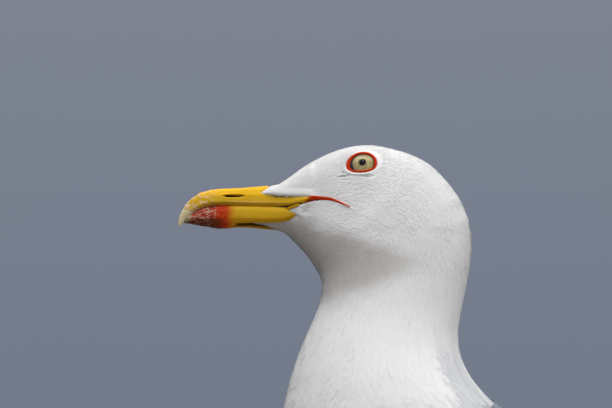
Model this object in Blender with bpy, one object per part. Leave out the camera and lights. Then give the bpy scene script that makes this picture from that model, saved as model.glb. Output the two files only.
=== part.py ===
"""Adult yellow-legged gull standing alert: a still, life-size model in separate closed pieces.

Lengths in the tables are millimetres from the point midway between the eyes: "back" runs from the
bill to the tail (+Y), "up" is +Z and "side" is +X, the gull's left. world() turns such a point into
metres, with the origin on the floor under the middle of the bird's length.
"""

import math
from dataclasses import dataclass

import bmesh
import bpy
import numpy as np
from mathutils import Matrix, Vector
from mathutils.bvhtree import BVHTree

MM = 0.001

# Driving dimensions
EYE_HEIGHT = 388.0          # middle of the eyes over the floor
BILL_TIP_BACK = -91.6
WING_TIP_BACK = 450.0
FLOOR_UP = -EYE_HEIGHT
MIDDLE_BACK = (BILL_TIP_BACK + WING_TIP_BACK) / 2
GAP = 0.35                  # clearance that touching pieces keep
THIN_PIECE_GAP = 0.45
TRUNK_GAP = 0.6             # wings, tail and thighs keep this clear of the trunk
SLIVER = 0.01               # shorter edges left by a cut are closed up
EYE_OUTMOST = (-0.4, 17.8, 0.7)     # back, side and up of the outermost point of the left eye
EYEBALL_RADIUS = 9.8        # along the head
EYEBALL_HEIGHT = 8.3        # half height
EYEBALL_DEPTH = 7.2         # the eyeball is flatter towards the side of the head
EYE_LOOKS_AHEAD = 12.0      # degrees the eye is turned to the front
EYE_LOOKS_UP = 12.0
STANCE_SIDE = 27.0          # each leg out from the middle plane

# Sections of the whole body, bill base to tail base. Each row is the point on the back line, the point
# on the throat and belly line, the half width, how high between those two points it is widest, and
# how square the section is (2 is an ellipse).
BODY = [
    ((-49.6, -10.8), (-49.2, -18.4), 7.9, 0.70, 2.0),
    ((-45.6, -8.2), (-45.8, -20.0), 9.0, 0.62, 2.0),
    ((-41.0, -5.5), (-42.4, -22.8), 9.9, 0.60, 2.0),
    ((-35.0, -1.1), (-39.2, -28.4), 10.9, 0.60, 2.1),
    ((-29.0, 3.4), (-36.8, -33.2), 11.8, 0.58, 2.4),
    ((-22.0, 7.4), (-33.8, -36.2), 12.9, 0.55, 2.6),
    ((-13.5, 11.1), (-30.6, -39.6), 14.8, 0.50, 2.8),
    ((-4.0, 13.5), (-27.7, -43.0), 16.8, 0.48, 3.1),
    ((7.0, 13.6), (-24.9, -47.0), 18.9, 0.46, 3.2),
    ((18.0, 11.3), (-22.7, -50.8), 21.0, 0.45, 2.9),
    ((28.5, 7.5), (-21.2, -53.7), 22.9, 0.45, 2.7),
    ((37.6, 1.7), (-20.6, -56.2), 24.9, 0.46, 2.4),
    ((45.4, -7.0), (-20.4, -58.6), 26.2, 0.46, 2.25),
    ((51.6, -16.3), (-20.7, -61.5), 27.1, 0.46, 2.15),
    ((55.2, -27.5), (-21.9, -65.5), 27.8, 0.47, 2.1),
    ((55.9, -39.6), (-23.6, -70.0), 28.2, 0.48, 2.1),
    ((54.6, -51.0), (-26.0, -76.0), 28.8, 0.49, 2.1),
    ((52.0, -62.5), (-29.2, -83.3), 30.0, 0.50, 2.1),
    ((49.2, -75.5), (-32.6, -91.0), 32.2, 0.50, 2.1),
    ((47.6, -86.0), (-35.6, -99.8), 35.4, 0.50, 2.1),
    ((49.4, -97.2), (-38.8, -111.0), 39.8, 0.50, 2.1),
    ((54.8, -106.9), (-41.6, -125.0), 44.8, 0.50, 2.1),
    ((63.4, -117.2), (-44.4, -143.0), 49.8, 0.50, 2.1),
    ((75.5, -127.4), (-45.8, -165.0), 53.8, 0.50, 2.1),
    ((89.5, -136.0), (-43.0, -192.0), 56.6, 0.50, 2.1),
    ((105.0, -143.5), (-33.0, -220.0), 58.4, 0.50, 2.1),
    ((122.0, -150.0), (-11.0, -246.0), 58.8, 0.50, 2.1),
    ((142.0, -157.0), (25.0, -265.0), 58.0, 0.50, 2.1),
    ((163.0, -164.0), (66.0, -275.0), 56.0, 0.50, 2.1),
    ((186.0, -171.0), (108.0, -278.0), 52.0, 0.50, 2.1),
    ((209.0, -179.0), (148.0, -275.0), 46.6, 0.51, 2.1),
    ((231.0, -188.0), (185.0, -267.0), 40.0, 0.52, 2.1),
    ((252.0, -198.0), (219.0, -256.5), 32.4, 0.53, 2.1),
    ((270.0, -208.5), (250.0, -247.0), 24.5, 0.55, 2.1),
]
HEAD_ROWS = 12              # the first rows are resampled more finely
BILL_AROUND = 16            # faces round the bill
BODY_FRONT = (-51.2, -14.5)
BODY_REAR = (276.0, -228.0)
HEAD_CUT = ((55.5, -44.0), (-22.0, -64.0))    # nape and throat points of the head's lower end
NECK_CUT = ((72.0, -122.5), (-45.0, -138.0))  # shoulder and breast points of the neck's lower end

CHIN = [  # feathered skin between the two arms of the lower bill
    ((-58.0, -23.9), (-58.0, -25.6), 2.2),
    ((-53.0, -23.2), (-53.5, -26.5), 3.5),
    ((-47.0, -22.8), (-48.0, -28.0), 4.4),
    ((-41.0, -22.8), (-44.0, -29.9), 5.4),
    ((-34.0, -23.4), (-39.0, -31.2), 6.2),
]
CHIN_FRONT = (-61.0, -25.0)
CHIN_REAR = (-24.0, -29.0)

UPPER_BILL = [
    ((-91.7, -25.6), (-90.0, -27.0), 0.9, 0.40, 2.2),
    ((-90.9, -21.8), (-87.9, -24.6), 1.7, 0.35, 2.2),
    ((-88.6, -16.9), (-85.4, -22.0), 2.7, 0.30, 2.3),
    ((-85.1, -13.2), (-82.0, -20.3), 3.5, 0.26, 2.4),
    ((-81.0, -10.5), (-78.4, -19.0), 4.1, 0.24, 2.5),
    ((-75.9, -8.9), (-74.5, -18.3), 4.7, 0.22, 2.5),
    ((-70.0, -8.3), (-69.5, -18.3), 5.2, 0.20, 2.5),
    ((-62.0, -8.1), (-62.0, -19.0), 5.9, 0.18, 2.5),
    ((-54.0, -7.5), (-54.0, -19.8), 6.8, 0.17, 2.5),
    ((-47.0, -7.0), (-47.0, -20.2), 7.9, 0.16, 2.5),
    ((-42.5, -9.6), (-42.0, -20.3), 8.9, 0.16, 2.6),
    ((-37.0, -12.8), (-36.4, -20.3), 10.5, 0.20, 2.8),
    ((-31.5, -14.2), (-31.0, -20.0), 12.3, 0.28, 3.0),
    ((-27.2, -15.2), (-26.8, -19.0), 13.9, 0.45, 3.0),
    ((-24.4, -15.9), (-24.2, -18.2), 12.2, 0.50, 3.0),
]
UPPER_BILL_TIP = (-91.3, -28.4)
UPPER_BILL_REAR = (-23.6, -17.0)
LOWER_BILL = [
    ((-88.2, -25.2), (-88.6, -26.3), 1.3, 0.60, 2.2),
    ((-85.4, -22.8), (-84.8, -26.8), 2.3, 0.66, 2.2),
    ((-81.8, -20.9), (-80.4, -27.3), 3.1, 0.70, 2.3),
    ((-77.8, -19.4), (-76.2, -28.1), 3.7, 0.72, 2.3),
    ((-73.2, -18.7), (-72.0, -29.0), 4.2, 0.74, 2.4),
    ((-68.6, -18.7), (-68.2, -28.8), 4.7, 0.76, 2.6),
    ((-62.0, -19.3), (-62.5, -27.9), 5.5, 0.78, 3.2),
    ((-54.0, -20.0), (-55.0, -27.8), 6.6, 0.76, 4.0),
    ((-46.0, -20.3), (-47.0, -28.4), 7.8, 0.72, 4.0),
    ((-40.0, -20.5), (-41.0, -28.7), 9.0, 0.70, 3.6),
    ((-35.5, -20.5), (-36.6, -28.2), 10.3, 0.66, 3.0),
    ((-31.5, -20.6), (-33.4, -26.8), 11.3, 0.60, 2.6),
]
LOWER_BILL_TIP = (-89.6, -26.0)
LOWER_BILL_REAR = (-28.6, -23.0)
LOWER_BILL_ARM = 2.2        # thickness of each arm behind the chin angle
BETWEEN_ARMS_FROM = 6       # the row of LOWER_BILL where the space between the arms starts
BETWEEN_ARMS_DEPTH = 8.0    # it is cut this far below the arms
BETWEEN_ARMS_LEAST = 0.8    # least half width of the cut
BETWEEN_ARMS_SQUARENESS = 4.0
BETWEEN_ARMS_END = ((-22.0, -23.0), (-24.0, -36.0))
BETWEEN_ARMS_FRONT = (-64.5, -29.0)
BETWEEN_ARMS_REAR = (-20.0, -30.0)
MOUTH_ROOM = 2.2            # the head keeps out of the space between the bill's halves
NOSTRIL_MIDDLE = (-63.8, -13.5)
NOSTRIL_LENGTH = 10.4
NOSTRIL_HEIGHT = 1.5
NOSTRIL_DEPTH = 2.4
NOSTRIL_AROUND = 12
NOSTRIL_BANDS = 6

# Eyelid rim: an almond round the eye, longest to the front, with both corners low
LID_FRONT, LID_REAR = 7.0, 6.5
LID_TOP, LID_BOTTOM = 5.1, 4.9
LID_CORNERS_UP = -1.2
LID_FULLNESS = 0.85         # below 1 the lids arch fuller than an ellipse
LID_THICKNESS = 0.7         # half thickness over and under the eye
LID_CORNER_THICKNESS = 1.05
ORBIT_BACK, ORBIT_UP = 11.0, 6.9
ORBIT_DEPTH = 2.3           # half depth of the dish round the lids
MOUTH_CORNER = [(-30.5, -19.9), (-26.0, -18.6), (-22.0, -18.0), (-18.0, -18.4), (-13.6, -19.8), (-9.2, -21.8)]
MOUTH_CORNER_RADII = [0.8, 0.8, 0.75, 0.7, 0.55, 0.4]

# Upright sections of the left wing and its primaries: back, side and up of the middle, half thickness,
# half height, and the lean of the top towards the body in degrees.
WING = [
    (12.0, 50.0, -180.0, 7.0, 14.0, 8.0),
    (30.0, 43.0, -178.0, 17.5, 30.0, 13.0),
    (60.0, 40.5, -185.0, 23.0, 43.0, 18.0),
    (100.0, 40.0, -196.0, 25.5, 48.5, 21.0),
    (140.0, 38.5, -205.0, 25.5, 48.0, 22.0),
    (180.0, 35.5, -211.0, 22.5, 43.0, 22.0),
    (215.0, 30.0, -215.0, 17.5, 37.0, 24.0),
    (250.0, 24.0, -220.0, 11.5, 30.0, 26.0),
    (280.0, 19.0, -225.0, 6.6, 22.5, 26.0),
    (301.0, 16.6, -230.0, 3.4, 14.5, 24.0),
]
WING_FRONT = (4.0, 50.0, -181.0)
WING_REAR = (314.0, 15.4, -234.5)
TERTIAL_CUT = ((176.0, -160.0), (214.0, -260.0))  # plane between the coverts and the long inner quills
PRIMARIES = [
    (284.0, 11.0, -237.0, 3.0, 11.0, 16.0),
    (300.0, 11.2, -237.8, 3.3, 13.2, 22.0),
    (325.0, 11.4, -240.4, 3.5, 14.4, 30.0),
    (352.0, 11.2, -244.2, 3.4, 13.4, 36.0),
    (380.0, 10.6, -248.8, 3.0, 11.4, 41.0),
    (408.0, 9.4, -253.8, 2.4, 8.6, 44.0),
    (433.0, 7.8, -258.8, 1.7, 5.0, 45.0),
]
PRIMARIES_FRONT = (276.0, 11.0, -237.0)
PRIMARIES_REAR = (WING_TIP_BACK, 6.4, -262.5)

TAIL = [  # upright sections: back, up, half width and half thickness
    (262.0, -231.0, 17.0, 10.0),
    (285.0, -239.5, 20.5, 7.5),
    (310.0, -248.0, 24.0, 5.2),
    (340.0, -257.5, 28.0, 3.2),
    (370.0, -266.5, 32.0, 1.9),
    (388.0, -271.5, 34.0, 1.3),
    (395.0, -273.5, 32.0, 1.0),
]
TAIL_FRONT = (250.0, -226.0)
TAIL_REAR = (397.0, -274.2)

# Level sections of the left leg: rear point, front point, half width
THIGH = [
    ((128.0, -238.0), (70.0, -236.0), 17.0),
    ((127.0, -262.0), (75.0, -258.0), 15.5),
    ((121.0, -280.0), (82.0, -276.0), 12.5),
    ((115.0, -294.0), (89.0, -291.0), 9.0),
    ((110.5, -303.0), (95.0, -301.0), 6.2),
]
THIGH_TOP = (100.0, -222.0)
THIGH_BOTTOM = (103.0, -307.0)
SHANK = [
    ((105.6, -299.0), (98.6, -298.0), 3.2),
    ((108.6, -309.0), (101.4, -308.0), 3.2),
    ((113.0, -316.0), (102.8, -316.0), 4.1),
    ((113.4, -321.5), (102.6, -322.0), 4.2),
    ((109.8, -329.5), (102.8, -329.0), 3.1),
    ((105.4, -350.0), (99.4, -350.0), 2.6),
    ((102.0, -366.0), (95.6, -366.0), 2.8),
    ((101.2, -374.5), (92.4, -373.5), 3.7),
]
SHANK_TOP = (102.0, -294.0)
SHANK_BOTTOM = (96.2, -379.5)

# Foot, on the floor: the toes start at the ankle and spread from straight ahead
ANKLE = (96.0, -382.8)
ANKLE_RADIUS = 4.4
TOES = {  # name: (length, degrees outwards, radius at the root, start behind the ankle)
    "inner": (43.0, -25.0, 3.3, 0.8),
    "middle": (54.0, 2.0, 3.6, 1.4),
    "outer": (50.0, 27.0, 3.45, 1.1),
}
TOE_TIP_SHARE = 0.62        # tip radius as a share of the root's
TOE_KNUCKLE = 0.14          # how much the joints swell
KNUCKLES = {"inner": 2, "middle": 3, "outer": 4}
SOLE_FLAT = 0.5             # how deep the soles are flattened against the floor
WEB_THICKNESS = 1.2
WEB_BACK = 2.3              # the web ends this far before the toe tips
WEB_SCALLOP = 0.16          # how far the free edge of the web curves in
WEB_STEPS = 9               # points on each free edge
WEB_BELOW = 0.2             # the plate is made this deep into the floor and cut off level
WEB_HEEL = (0.7, 0.3)       # back and side of its last corner from the ankle
HIND_TOE = ((97.0, -381.5), (105.0, -380.5), (109.5, -384.0))
HIND_TOE_RADIUS = 1.7
HIND_TOE_INWARDS = 2.0      # it starts this far towards the middle plane
HIND_TOE_TAPER = 0.8
CLAW_LENGTH = 6.5
CLAW_RADIUS = 1.35
CLAW_STEPS = 5
CLAW_ROOT = 0.08            # share of its length that a claw starts inside the toe
CLAW_TAPER = 0.86           # how much thinner its tip is
CLAW_TAPER_POWER = 1.3
CLAW_DROOP = 0.15           # share of its radius that its middle line ends over the floor
CLAW_FLOOR_GAP = 0.25
HIND_CLAW_LENGTH = 0.55     # shares of the front claws' sizes
HIND_CLAW_RADIUS = 0.7
KNOB_AROUND = 12
KNOB_BANDS = 7
TOE_TURN = 6.0              # each foot turns outwards


# ---------------------------------------------------------------- frame and materials

def world(back, side, up):
    """A point in the gull's millimetres, as metres above the floor."""
    return Vector((side * MM, (back - MIDDLE_BACK) * MM, (up + EYE_HEIGHT) * MM))


def direction(back, side, up):
    """A vector in the gull's millimetres, as metres."""
    return Vector((side, back, up)) * MM


def clear_scene():
    for obj in list(bpy.data.objects):
        bpy.data.objects.remove(obj)


def new_collection(name):
    collection = bpy.data.collections.new(name)
    bpy.context.scene.collection.children.link(collection)
    return collection


def new_material(name, colour, roughness):
    material = bpy.data.materials.new(name)
    material.use_nodes = True
    shader = material.node_tree.nodes["Principled BSDF"]
    shader.inputs["Base Color"].default_value = (*colour, 1.0)
    shader.inputs["Roughness"].default_value = roughness
    shader.inputs["Metallic"].default_value = 0.0
    return material


# ---------------------------------------------------------------- lofts

@dataclass
class Ring:
    """One closed section: from its middle, the ways up, down and out to the side."""

    middle: Vector
    up: Vector
    down: Vector
    side: Vector
    squareness: float = 2.0

    def numbers(self):
        return np.array([*self.middle, *self.up, *self.down, *self.side, self.squareness])

    def point(self, angle):
        """The point at an angle from the top, on a curve that is an ellipse at squareness 2."""
        rise, reach = math.cos(angle), math.sin(angle)
        power = 2.0 / self.squareness
        rise_size = abs(rise) ** power
        reach_size = math.copysign(abs(reach) ** power, reach)
        return self.middle + (self.up if rise > 0 else self.down) * rise_size + self.side * reach_size


def ring_from(numbers):
    return Ring(*(Vector(numbers[i:i + 3]) for i in (0, 3, 6, 9)), float(numbers[12]))


def body_ring(top, bottom, half_width, widest=0.5, squareness=2.0, side=0.0):
    """A section across the middle plane, from a point on the top line and one on the bottom line."""
    top, bottom = world(top[0], side, top[1]), world(bottom[0], side, bottom[1])
    middle = bottom.lerp(top, widest)
    return Ring(middle, top - middle, bottom - middle, direction(0, half_width, 0), squareness)


def upright_ring(back, side, up, half_thickness, half_height, lean):
    """An upright section beside the body whose top leans in."""
    lean = math.radians(lean)
    rise = direction(0, -half_height * math.sin(lean), half_height * math.cos(lean))
    reach = direction(0, half_thickness * math.cos(lean), half_thickness * math.sin(lean))
    return Ring(world(back, side, up), rise, -rise, reach)


def smooth_rings(rings, per_span, fine_spans=0):
    """Rings on a Catmull-Rom curve through the given ones, twice as many in the first fine spans."""
    rows = np.array([ring.numbers() for ring in rings])
    rows = np.vstack([2 * rows[0] - rows[1], rows, 2 * rows[-1] - rows[-2]])
    found = []
    for i in range(1, len(rows) - 2):
        a, b, c, d = rows[i - 1:i + 3]
        steps = 2 * per_span if i < fine_spans else per_span
        for step in range(steps):
            t = step / steps
            found.append(0.5 * (2 * b + (c - a) * t + (2 * a - 5 * b + 4 * c - d) * t ** 2
                                + (3 * b - a - 3 * c + d) * t ** 3))
    found.append(rows[-2])
    return [ring_from(row) for row in found]


def face_outwards(bm):
    """Turns every face of a closed mesh outwards."""
    bmesh.ops.recalc_face_normals(bm, faces=bm.faces)
    if bm.calc_volume(signed=True) < 0:
        bmesh.ops.reverse_faces(bm, faces=bm.faces)


def loft(rings, first, last, around):
    """A closed surface through the rings, ending in the points first and last, made from a sphere."""
    bm = bmesh.new()
    bands = len(rings) + 1
    bmesh.ops.create_uvsphere(bm, u_segments=around, v_segments=bands, radius=1.0)
    for vert in bm.verts:
        band = round(math.acos(max(-1.0, min(1.0, vert.co.z))) / math.pi * bands)
        if band == 0:
            vert.co = first
        elif band == bands:
            vert.co = last
        else:
            angle = math.atan2(vert.co.y, vert.co.x)
            vert.co = rings[band - 1].point(angle)
    face_outwards(bm)
    return bm


# ---------------------------------------------------------------- objects and cuts

class Workshop:
    """Keeps the model's collections and makes, cuts and finishes its objects."""

    def __init__(self):
        self.parts = new_collection("gull")
        self.helpers = new_collection("cutters")
        self.helpers.hide_render = True

    def add(self, name, bm, material):
        mesh = bpy.data.meshes.new(name)
        bm.to_mesh(mesh)
        bm.free()
        return self.add_mesh(name, mesh, material)

    def add_mesh(self, name, mesh, material):
        mesh.materials.clear()
        mesh.materials.append(material)
        mesh.shade_smooth()
        mesh.set_sharp_from_angle(angle=math.radians(50))
        obj = bpy.data.objects.new(name, mesh)
        self.parts.objects.link(obj)
        return obj

    def helper(self, name, mesh, growth=0.0):
        """A hidden copy of a shape, grown outwards, to cut its neighbours with."""
        obj = bpy.data.objects.new(name, mesh)
        self.helpers.objects.link(obj)
        obj.hide_render = True
        obj.display_type = "WIRE"
        if growth:
            swell = obj.modifiers.new("swell", "DISPLACE")
            swell.strength = growth * MM
            swell.mid_level = 0.0
        return obj

    def cut(self, obj, *cutters, operation="DIFFERENCE"):
        """Cuts the object with one cutter after another, so that its mesh holds the result."""
        for cutter in cutters:
            boolean = obj.modifiers.new("cut", "BOOLEAN")
            boolean.operation = operation
            boolean.solver = "EXACT"
            boolean.object = cutter
            self.settle(obj)

    def settle(self, obj):
        """Replaces the object's mesh and modifiers with its evaluated mesh."""
        graph = bpy.context.evaluated_depsgraph_get()
        graph.update()
        mesh = bpy.data.meshes.new_from_object(obj.evaluated_get(graph))
        bm = bmesh.new()
        bm.from_mesh(mesh)
        bmesh.ops.dissolve_degenerate(bm, dist=SLIVER * MM, edges=bm.edges)
        drop_crumbs(bm)
        bm.to_mesh(mesh)
        bm.free()
        obj.modifiers.clear()
        material = obj.data.materials[0]
        obj.data = mesh
        mesh.materials.clear()
        mesh.materials.append(material)

    def mirror(self, obj, name):
        """The right-hand twin of a finished left-hand piece."""
        return self.add_mesh(name, mirrored(obj.data), obj.data.materials[0])

    def tube(self, name, points, radii, material, resolution=1):
        """A tapering closed tube through points, as a mesh."""
        curve = bpy.data.curves.new(name, "CURVE")
        curve.dimensions = "3D"
        curve.bevel_depth = 1.0
        curve.bevel_resolution = resolution
        curve.use_fill_caps = True
        spline = curve.splines.new("POLY")
        spline.points.add(len(points) - 1)
        for spot, point, radius in zip(spline.points, points, radii):
            spot.co = (*point, 1.0)
            spot.radius = radius * MM
        guide = bpy.data.objects.new(name + "_guide", curve)
        self.helpers.objects.link(guide)
        graph = bpy.context.evaluated_depsgraph_get()
        graph.update()
        mesh = bpy.data.meshes.new_from_object(guide.evaluated_get(graph))
        bpy.data.objects.remove(guide)
        bm = bmesh.new()
        bm.from_mesh(mesh)
        bmesh.ops.remove_doubles(bm, verts=bm.verts, dist=1e-6)
        face_outwards(bm)
        return self.add(name, bm, material)


def mirrored(mesh):
    """A mesh's mirror image across the bird's middle plane."""
    bm = bmesh.new()
    bm.from_mesh(mesh)
    bmesh.ops.scale(bm, vec=(-1, 1, 1), verts=bm.verts)
    bmesh.ops.reverse_faces(bm, faces=bm.faces)
    twin = bpy.data.meshes.new(mesh.name)
    bm.to_mesh(twin)
    bm.free()
    return twin


def drop_crumbs(bm):
    """Keeps only the largest of the bodies that a cut has left."""
    unseen = set(bm.verts)
    bodies = []
    while unseen:
        body, edge_of_body = set(), [unseen.pop()]
        while edge_of_body:
            vert = edge_of_body.pop()
            body.add(vert)
            for edge in vert.link_edges:
                other = edge.other_vert(vert)
                if other in unseen:
                    unseen.remove(other)
                    edge_of_body.append(other)
        bodies.append(body)
    bodies.sort(key=len)
    crumbs = [vert for body in bodies[:-1] for vert in body]
    bmesh.ops.delete(bm, geom=crumbs, context="VERTS")


def keep_one_side(bm, point, normal):
    """Cuts a closed mesh with a plane and closes it again, keeping what the normal points away from."""
    geometry = bm.verts[:] + bm.edges[:] + bm.faces[:]
    bmesh.ops.bisect_plane(bm, geom=geometry, plane_co=point, plane_no=normal, clear_outer=True)
    open_edges = [edge for edge in bm.edges if edge.is_boundary]
    bmesh.ops.contextual_create(bm, geom=open_edges)
    face_outwards(bm)


def slice_plane(rear, front):
    """Plane through two points of the middle plane: a point, and the normal that faces upwards."""
    a, b = world(rear[0], 0, rear[1]), world(front[0], 0, front[1])
    normal = (a - b).cross(Vector((1, 0, 0)))
    normal = normal if normal.z > 0 else -normal
    return a, normal.normalized()


# ---------------------------------------------------------------- the bird

def make_flesh(shop, plumage):
    """Head, neck and trunk: one loft, parted with thin cuts. Also returns the whole loft's mesh."""
    rings = smooth_rings([body_ring(*row) for row in BODY], 1, HEAD_ROWS)
    whole = loft(rings, world(BODY_FRONT[0], 0, BODY_FRONT[1]), world(BODY_REAR[0], 0, BODY_REAR[1]), 24)
    head_point, head_normal = slice_plane(*HEAD_CUT)
    neck_point, neck_normal = slice_plane(*NECK_CUT)
    half_gap = GAP * MM / 2

    head = whole.copy()
    keep_one_side(head, head_point + head_normal * half_gap, -head_normal)
    neck = whole.copy()
    keep_one_side(neck, head_point - head_normal * half_gap, head_normal)
    keep_one_side(neck, neck_point + neck_normal * half_gap, -neck_normal)
    trunk = whole.copy()
    keep_one_side(trunk, neck_point - neck_normal * half_gap, neck_normal)
    whole.free()
    return (shop.add("head", head, plumage), shop.add("neck", neck, plumage),
            shop.add("trunk", trunk, plumage))


def make_chin(shop, head, lower_bill):
    """Joins the feathered chin to the head, clear of the lower bill's arms."""
    rings = [body_ring(*row) for row in CHIN]
    front, rear = world(CHIN_FRONT[0], 0, CHIN_FRONT[1]), world(CHIN_REAR[0], 0, CHIN_REAR[1])
    bm = loft(rings, front, rear, 12)
    mesh = bpy.data.meshes.new("chin")
    bm.to_mesh(mesh)
    bm.free()
    shop.cut(head, shop.helper("chin", mesh), operation="UNION")
    shop.cut(lower_bill, shop.helper("chin_room", mesh, GAP))


def make_bill(shop, horn):
    """Upper and lower bill, with nostrils and the space between the lower bill's arms.

    Returns the lower bill and the shapes that the bill's neighbours leave room for.
    """
    upper = shop.add("upper_bill", bill_loft(UPPER_BILL, UPPER_BILL_TIP, UPPER_BILL_REAR), horn)
    lower = shop.add("lower_bill", bill_loft(LOWER_BILL, LOWER_BILL_TIP, LOWER_BILL_REAR), horn)
    rooms = [shop.helper("upper_room", upper.data, GAP)]
    shop.cut(upper, *[nostril_cutter(shop, upper, side) for side in (1, -1)])
    rooms.append(lower_bill_room(shop))
    shop.cut(lower, between_arms_cutter(shop), rooms[0])
    return lower, rooms


def bill_loft(rows, tip, rear):
    rings = [body_ring(*row) for row in rows]
    return loft(rings, world(tip[0], 0, tip[1]), world(rear[0], 0, rear[1]), BILL_AROUND)


def surface_side(mesh, back, up):
    """How far out from the middle plane a mesh's left surface lies at a point of the side view."""
    bm = bmesh.new()
    bm.from_mesh(mesh)
    tree = BVHTree.FromBMesh(bm)
    bm.free()
    far = world(back, 200.0, up)
    hit = tree.ray_cast(far, Vector((-1, 0, 0)))[0]
    return hit.x / MM


def nostril_cutter(shop, upper, side):
    """A slit with round ends, sunk into one side of the upper bill."""
    back, up = NOSTRIL_MIDDLE
    out = surface_side(upper.data, back, up)
    bm = bmesh.new()
    bmesh.ops.create_uvsphere(bm, u_segments=NOSTRIL_AROUND, v_segments=NOSTRIL_BANDS, radius=1.0)
    size = direction(NOSTRIL_LENGTH / 2, NOSTRIL_DEPTH, NOSTRIL_HEIGHT / 2)
    bmesh.ops.scale(bm, vec=size, verts=bm.verts)
    bmesh.ops.translate(bm, vec=world(back, side * out, up), verts=bm.verts)
    mesh = bpy.data.meshes.new("nostril")
    bm.to_mesh(mesh)
    bm.free()
    return shop.helper("nostril", mesh)


def lower_bill_room(shop):
    """The lower bill grown by the gap, and reaching up into the upper bill, which leaves nothing between."""
    rows = []
    for top, bottom, half_width, widest, squareness in LOWER_BILL:
        height = math.dist(top, bottom)
        raised = (top[0], top[1] + MOUTH_ROOM)
        rows.append((raised, bottom, half_width, widest * height / (height + MOUTH_ROOM), squareness))
    mesh = bpy.data.meshes.new("lower_room")
    bm = bill_loft(rows, LOWER_BILL_TIP, LOWER_BILL_REAR)
    bm.to_mesh(mesh)
    bm.free()
    return shop.helper("lower_room", mesh, THIN_PIECE_GAP)


def between_arms_cutter(shop):
    """A wedge between the arms of the lower bill, open below and behind."""
    rings = []
    for top, bottom, half_width, *_ in LOWER_BILL[BETWEEN_ARMS_FROM:]:
        roof = (top[0], top[1] - LOWER_BILL_ARM)
        floor = (bottom[0], bottom[1] - BETWEEN_ARMS_DEPTH)
        width = max(BETWEEN_ARMS_LEAST, half_width - LOWER_BILL_ARM)
        rings.append(body_ring(roof, floor, width, 0.5, BETWEEN_ARMS_SQUARENESS))
    end_top, end_bottom = BETWEEN_ARMS_END
    rings.append(body_ring(end_top, end_bottom, LOWER_BILL[-1][2], 0.5, BETWEEN_ARMS_SQUARENESS))
    front = world(BETWEEN_ARMS_FRONT[0], 0, BETWEEN_ARMS_FRONT[1])
    rear = world(BETWEEN_ARMS_REAR[0], 0, BETWEEN_ARMS_REAR[1])
    bm = loft(rings, front, rear, BILL_AROUND)
    mesh = bpy.data.meshes.new("between_arms")
    bm.to_mesh(mesh)
    bm.free()
    return shop.helper("between_arms", mesh)


def seat_eye(bm):
    """Turns a shape made round the origin, looking along +X, into the left eye socket."""
    ahead = Matrix.Rotation(math.radians(-EYE_LOOKS_AHEAD), 3, "Z")
    rise = Matrix.Rotation(math.radians(-EYE_LOOKS_UP), 3, "Y")
    bmesh.ops.rotate(bm, matrix=ahead @ rise, verts=bm.verts)
    outwards = ahead @ rise @ Vector((EYEBALL_DEPTH * MM, 0, 0))
    bmesh.ops.translate(bm, vec=world(*EYE_OUTMOST) - outwards, verts=bm.verts)


def eye_shape(out, back, up, side, around, bands):
    """An ellipsoid in the eye socket, with its middle moved out by side."""
    bm = bmesh.new()
    bmesh.ops.create_uvsphere(bm, u_segments=around, v_segments=bands, radius=1.0)
    bmesh.ops.rotate(bm, matrix=Matrix.Rotation(math.radians(90), 3, "Y"), verts=bm.verts)
    bmesh.ops.scale(bm, vec=direction(back, out, up), verts=bm.verts)
    bmesh.ops.translate(bm, vec=direction(0, side, 0), verts=bm.verts)
    seat_eye(bm)
    return bm


def make_eye(shop, glass):
    return shop.add("eye_L", eye_shape(EYEBALL_DEPTH, EYEBALL_RADIUS, EYEBALL_HEIGHT, 0.0, 16, 8), glass)


def orbit_cutter(shop):
    """The shallow dish in the side of the head that the lids lie in."""
    mesh = bpy.data.meshes.new("orbit")
    bm = eye_shape(ORBIT_DEPTH, ORBIT_BACK, ORBIT_UP, EYEBALL_DEPTH, 18, 8)
    bm.to_mesh(mesh)
    bm.free()
    return mesh


def make_lid(shop, skin):
    """The bare rim of the eyelids, an almond ring lying on the eyeball."""
    bpy.ops.mesh.primitive_torus_add(major_radius=1.0, minor_radius=0.25, major_segments=18, minor_segments=6)
    torus = bpy.context.object
    bm = bmesh.new()
    bm.from_mesh(torus.data)
    bpy.data.objects.remove(torus)
    for vert in bm.verts:
        angle = math.atan2(vert.co.y, vert.co.x)
        outwards = (math.hypot(vert.co.x, vert.co.y) - 1.0) / 0.25
        ahead, rise = math.cos(angle), math.sin(angle)
        back = -ahead * (LID_FRONT if ahead > 0 else LID_REAR)
        arch = LID_TOP - LID_CORNERS_UP if rise > 0 else LID_BOTTOM + LID_CORNERS_UP
        up = LID_CORNERS_UP + math.copysign(abs(rise) ** LID_FULLNESS, rise) * arch
        thickness = LID_THICKNESS + (LID_CORNER_THICKNESS - LID_THICKNESS) * ahead ** 4
        radius = math.hypot(back, up)
        share = 1.0 + outwards * thickness / radius
        surface = EYEBALL_DEPTH * math.sqrt(1.0 - (back / EYEBALL_RADIUS) ** 2 - (up / EYEBALL_HEIGHT) ** 2)
        out = surface + vert.co.z / 0.25 * LID_THICKNESS
        vert.co = direction(back * share, out, up * share)
    face_outwards(bm)
    seat_eye(bm)
    return shop.add("eyelid_L", bm, skin)


def make_mouth_corner(shop, head, skin):
    """The bare edge of the mouth behind the bill, half sunk in the cheek."""
    points = [world(back, surface_side(head.data, back, up), up) for back, up in MOUTH_CORNER]
    return shop.tube("gape_L", points, MOUTH_CORNER_RADII, skin)


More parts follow.
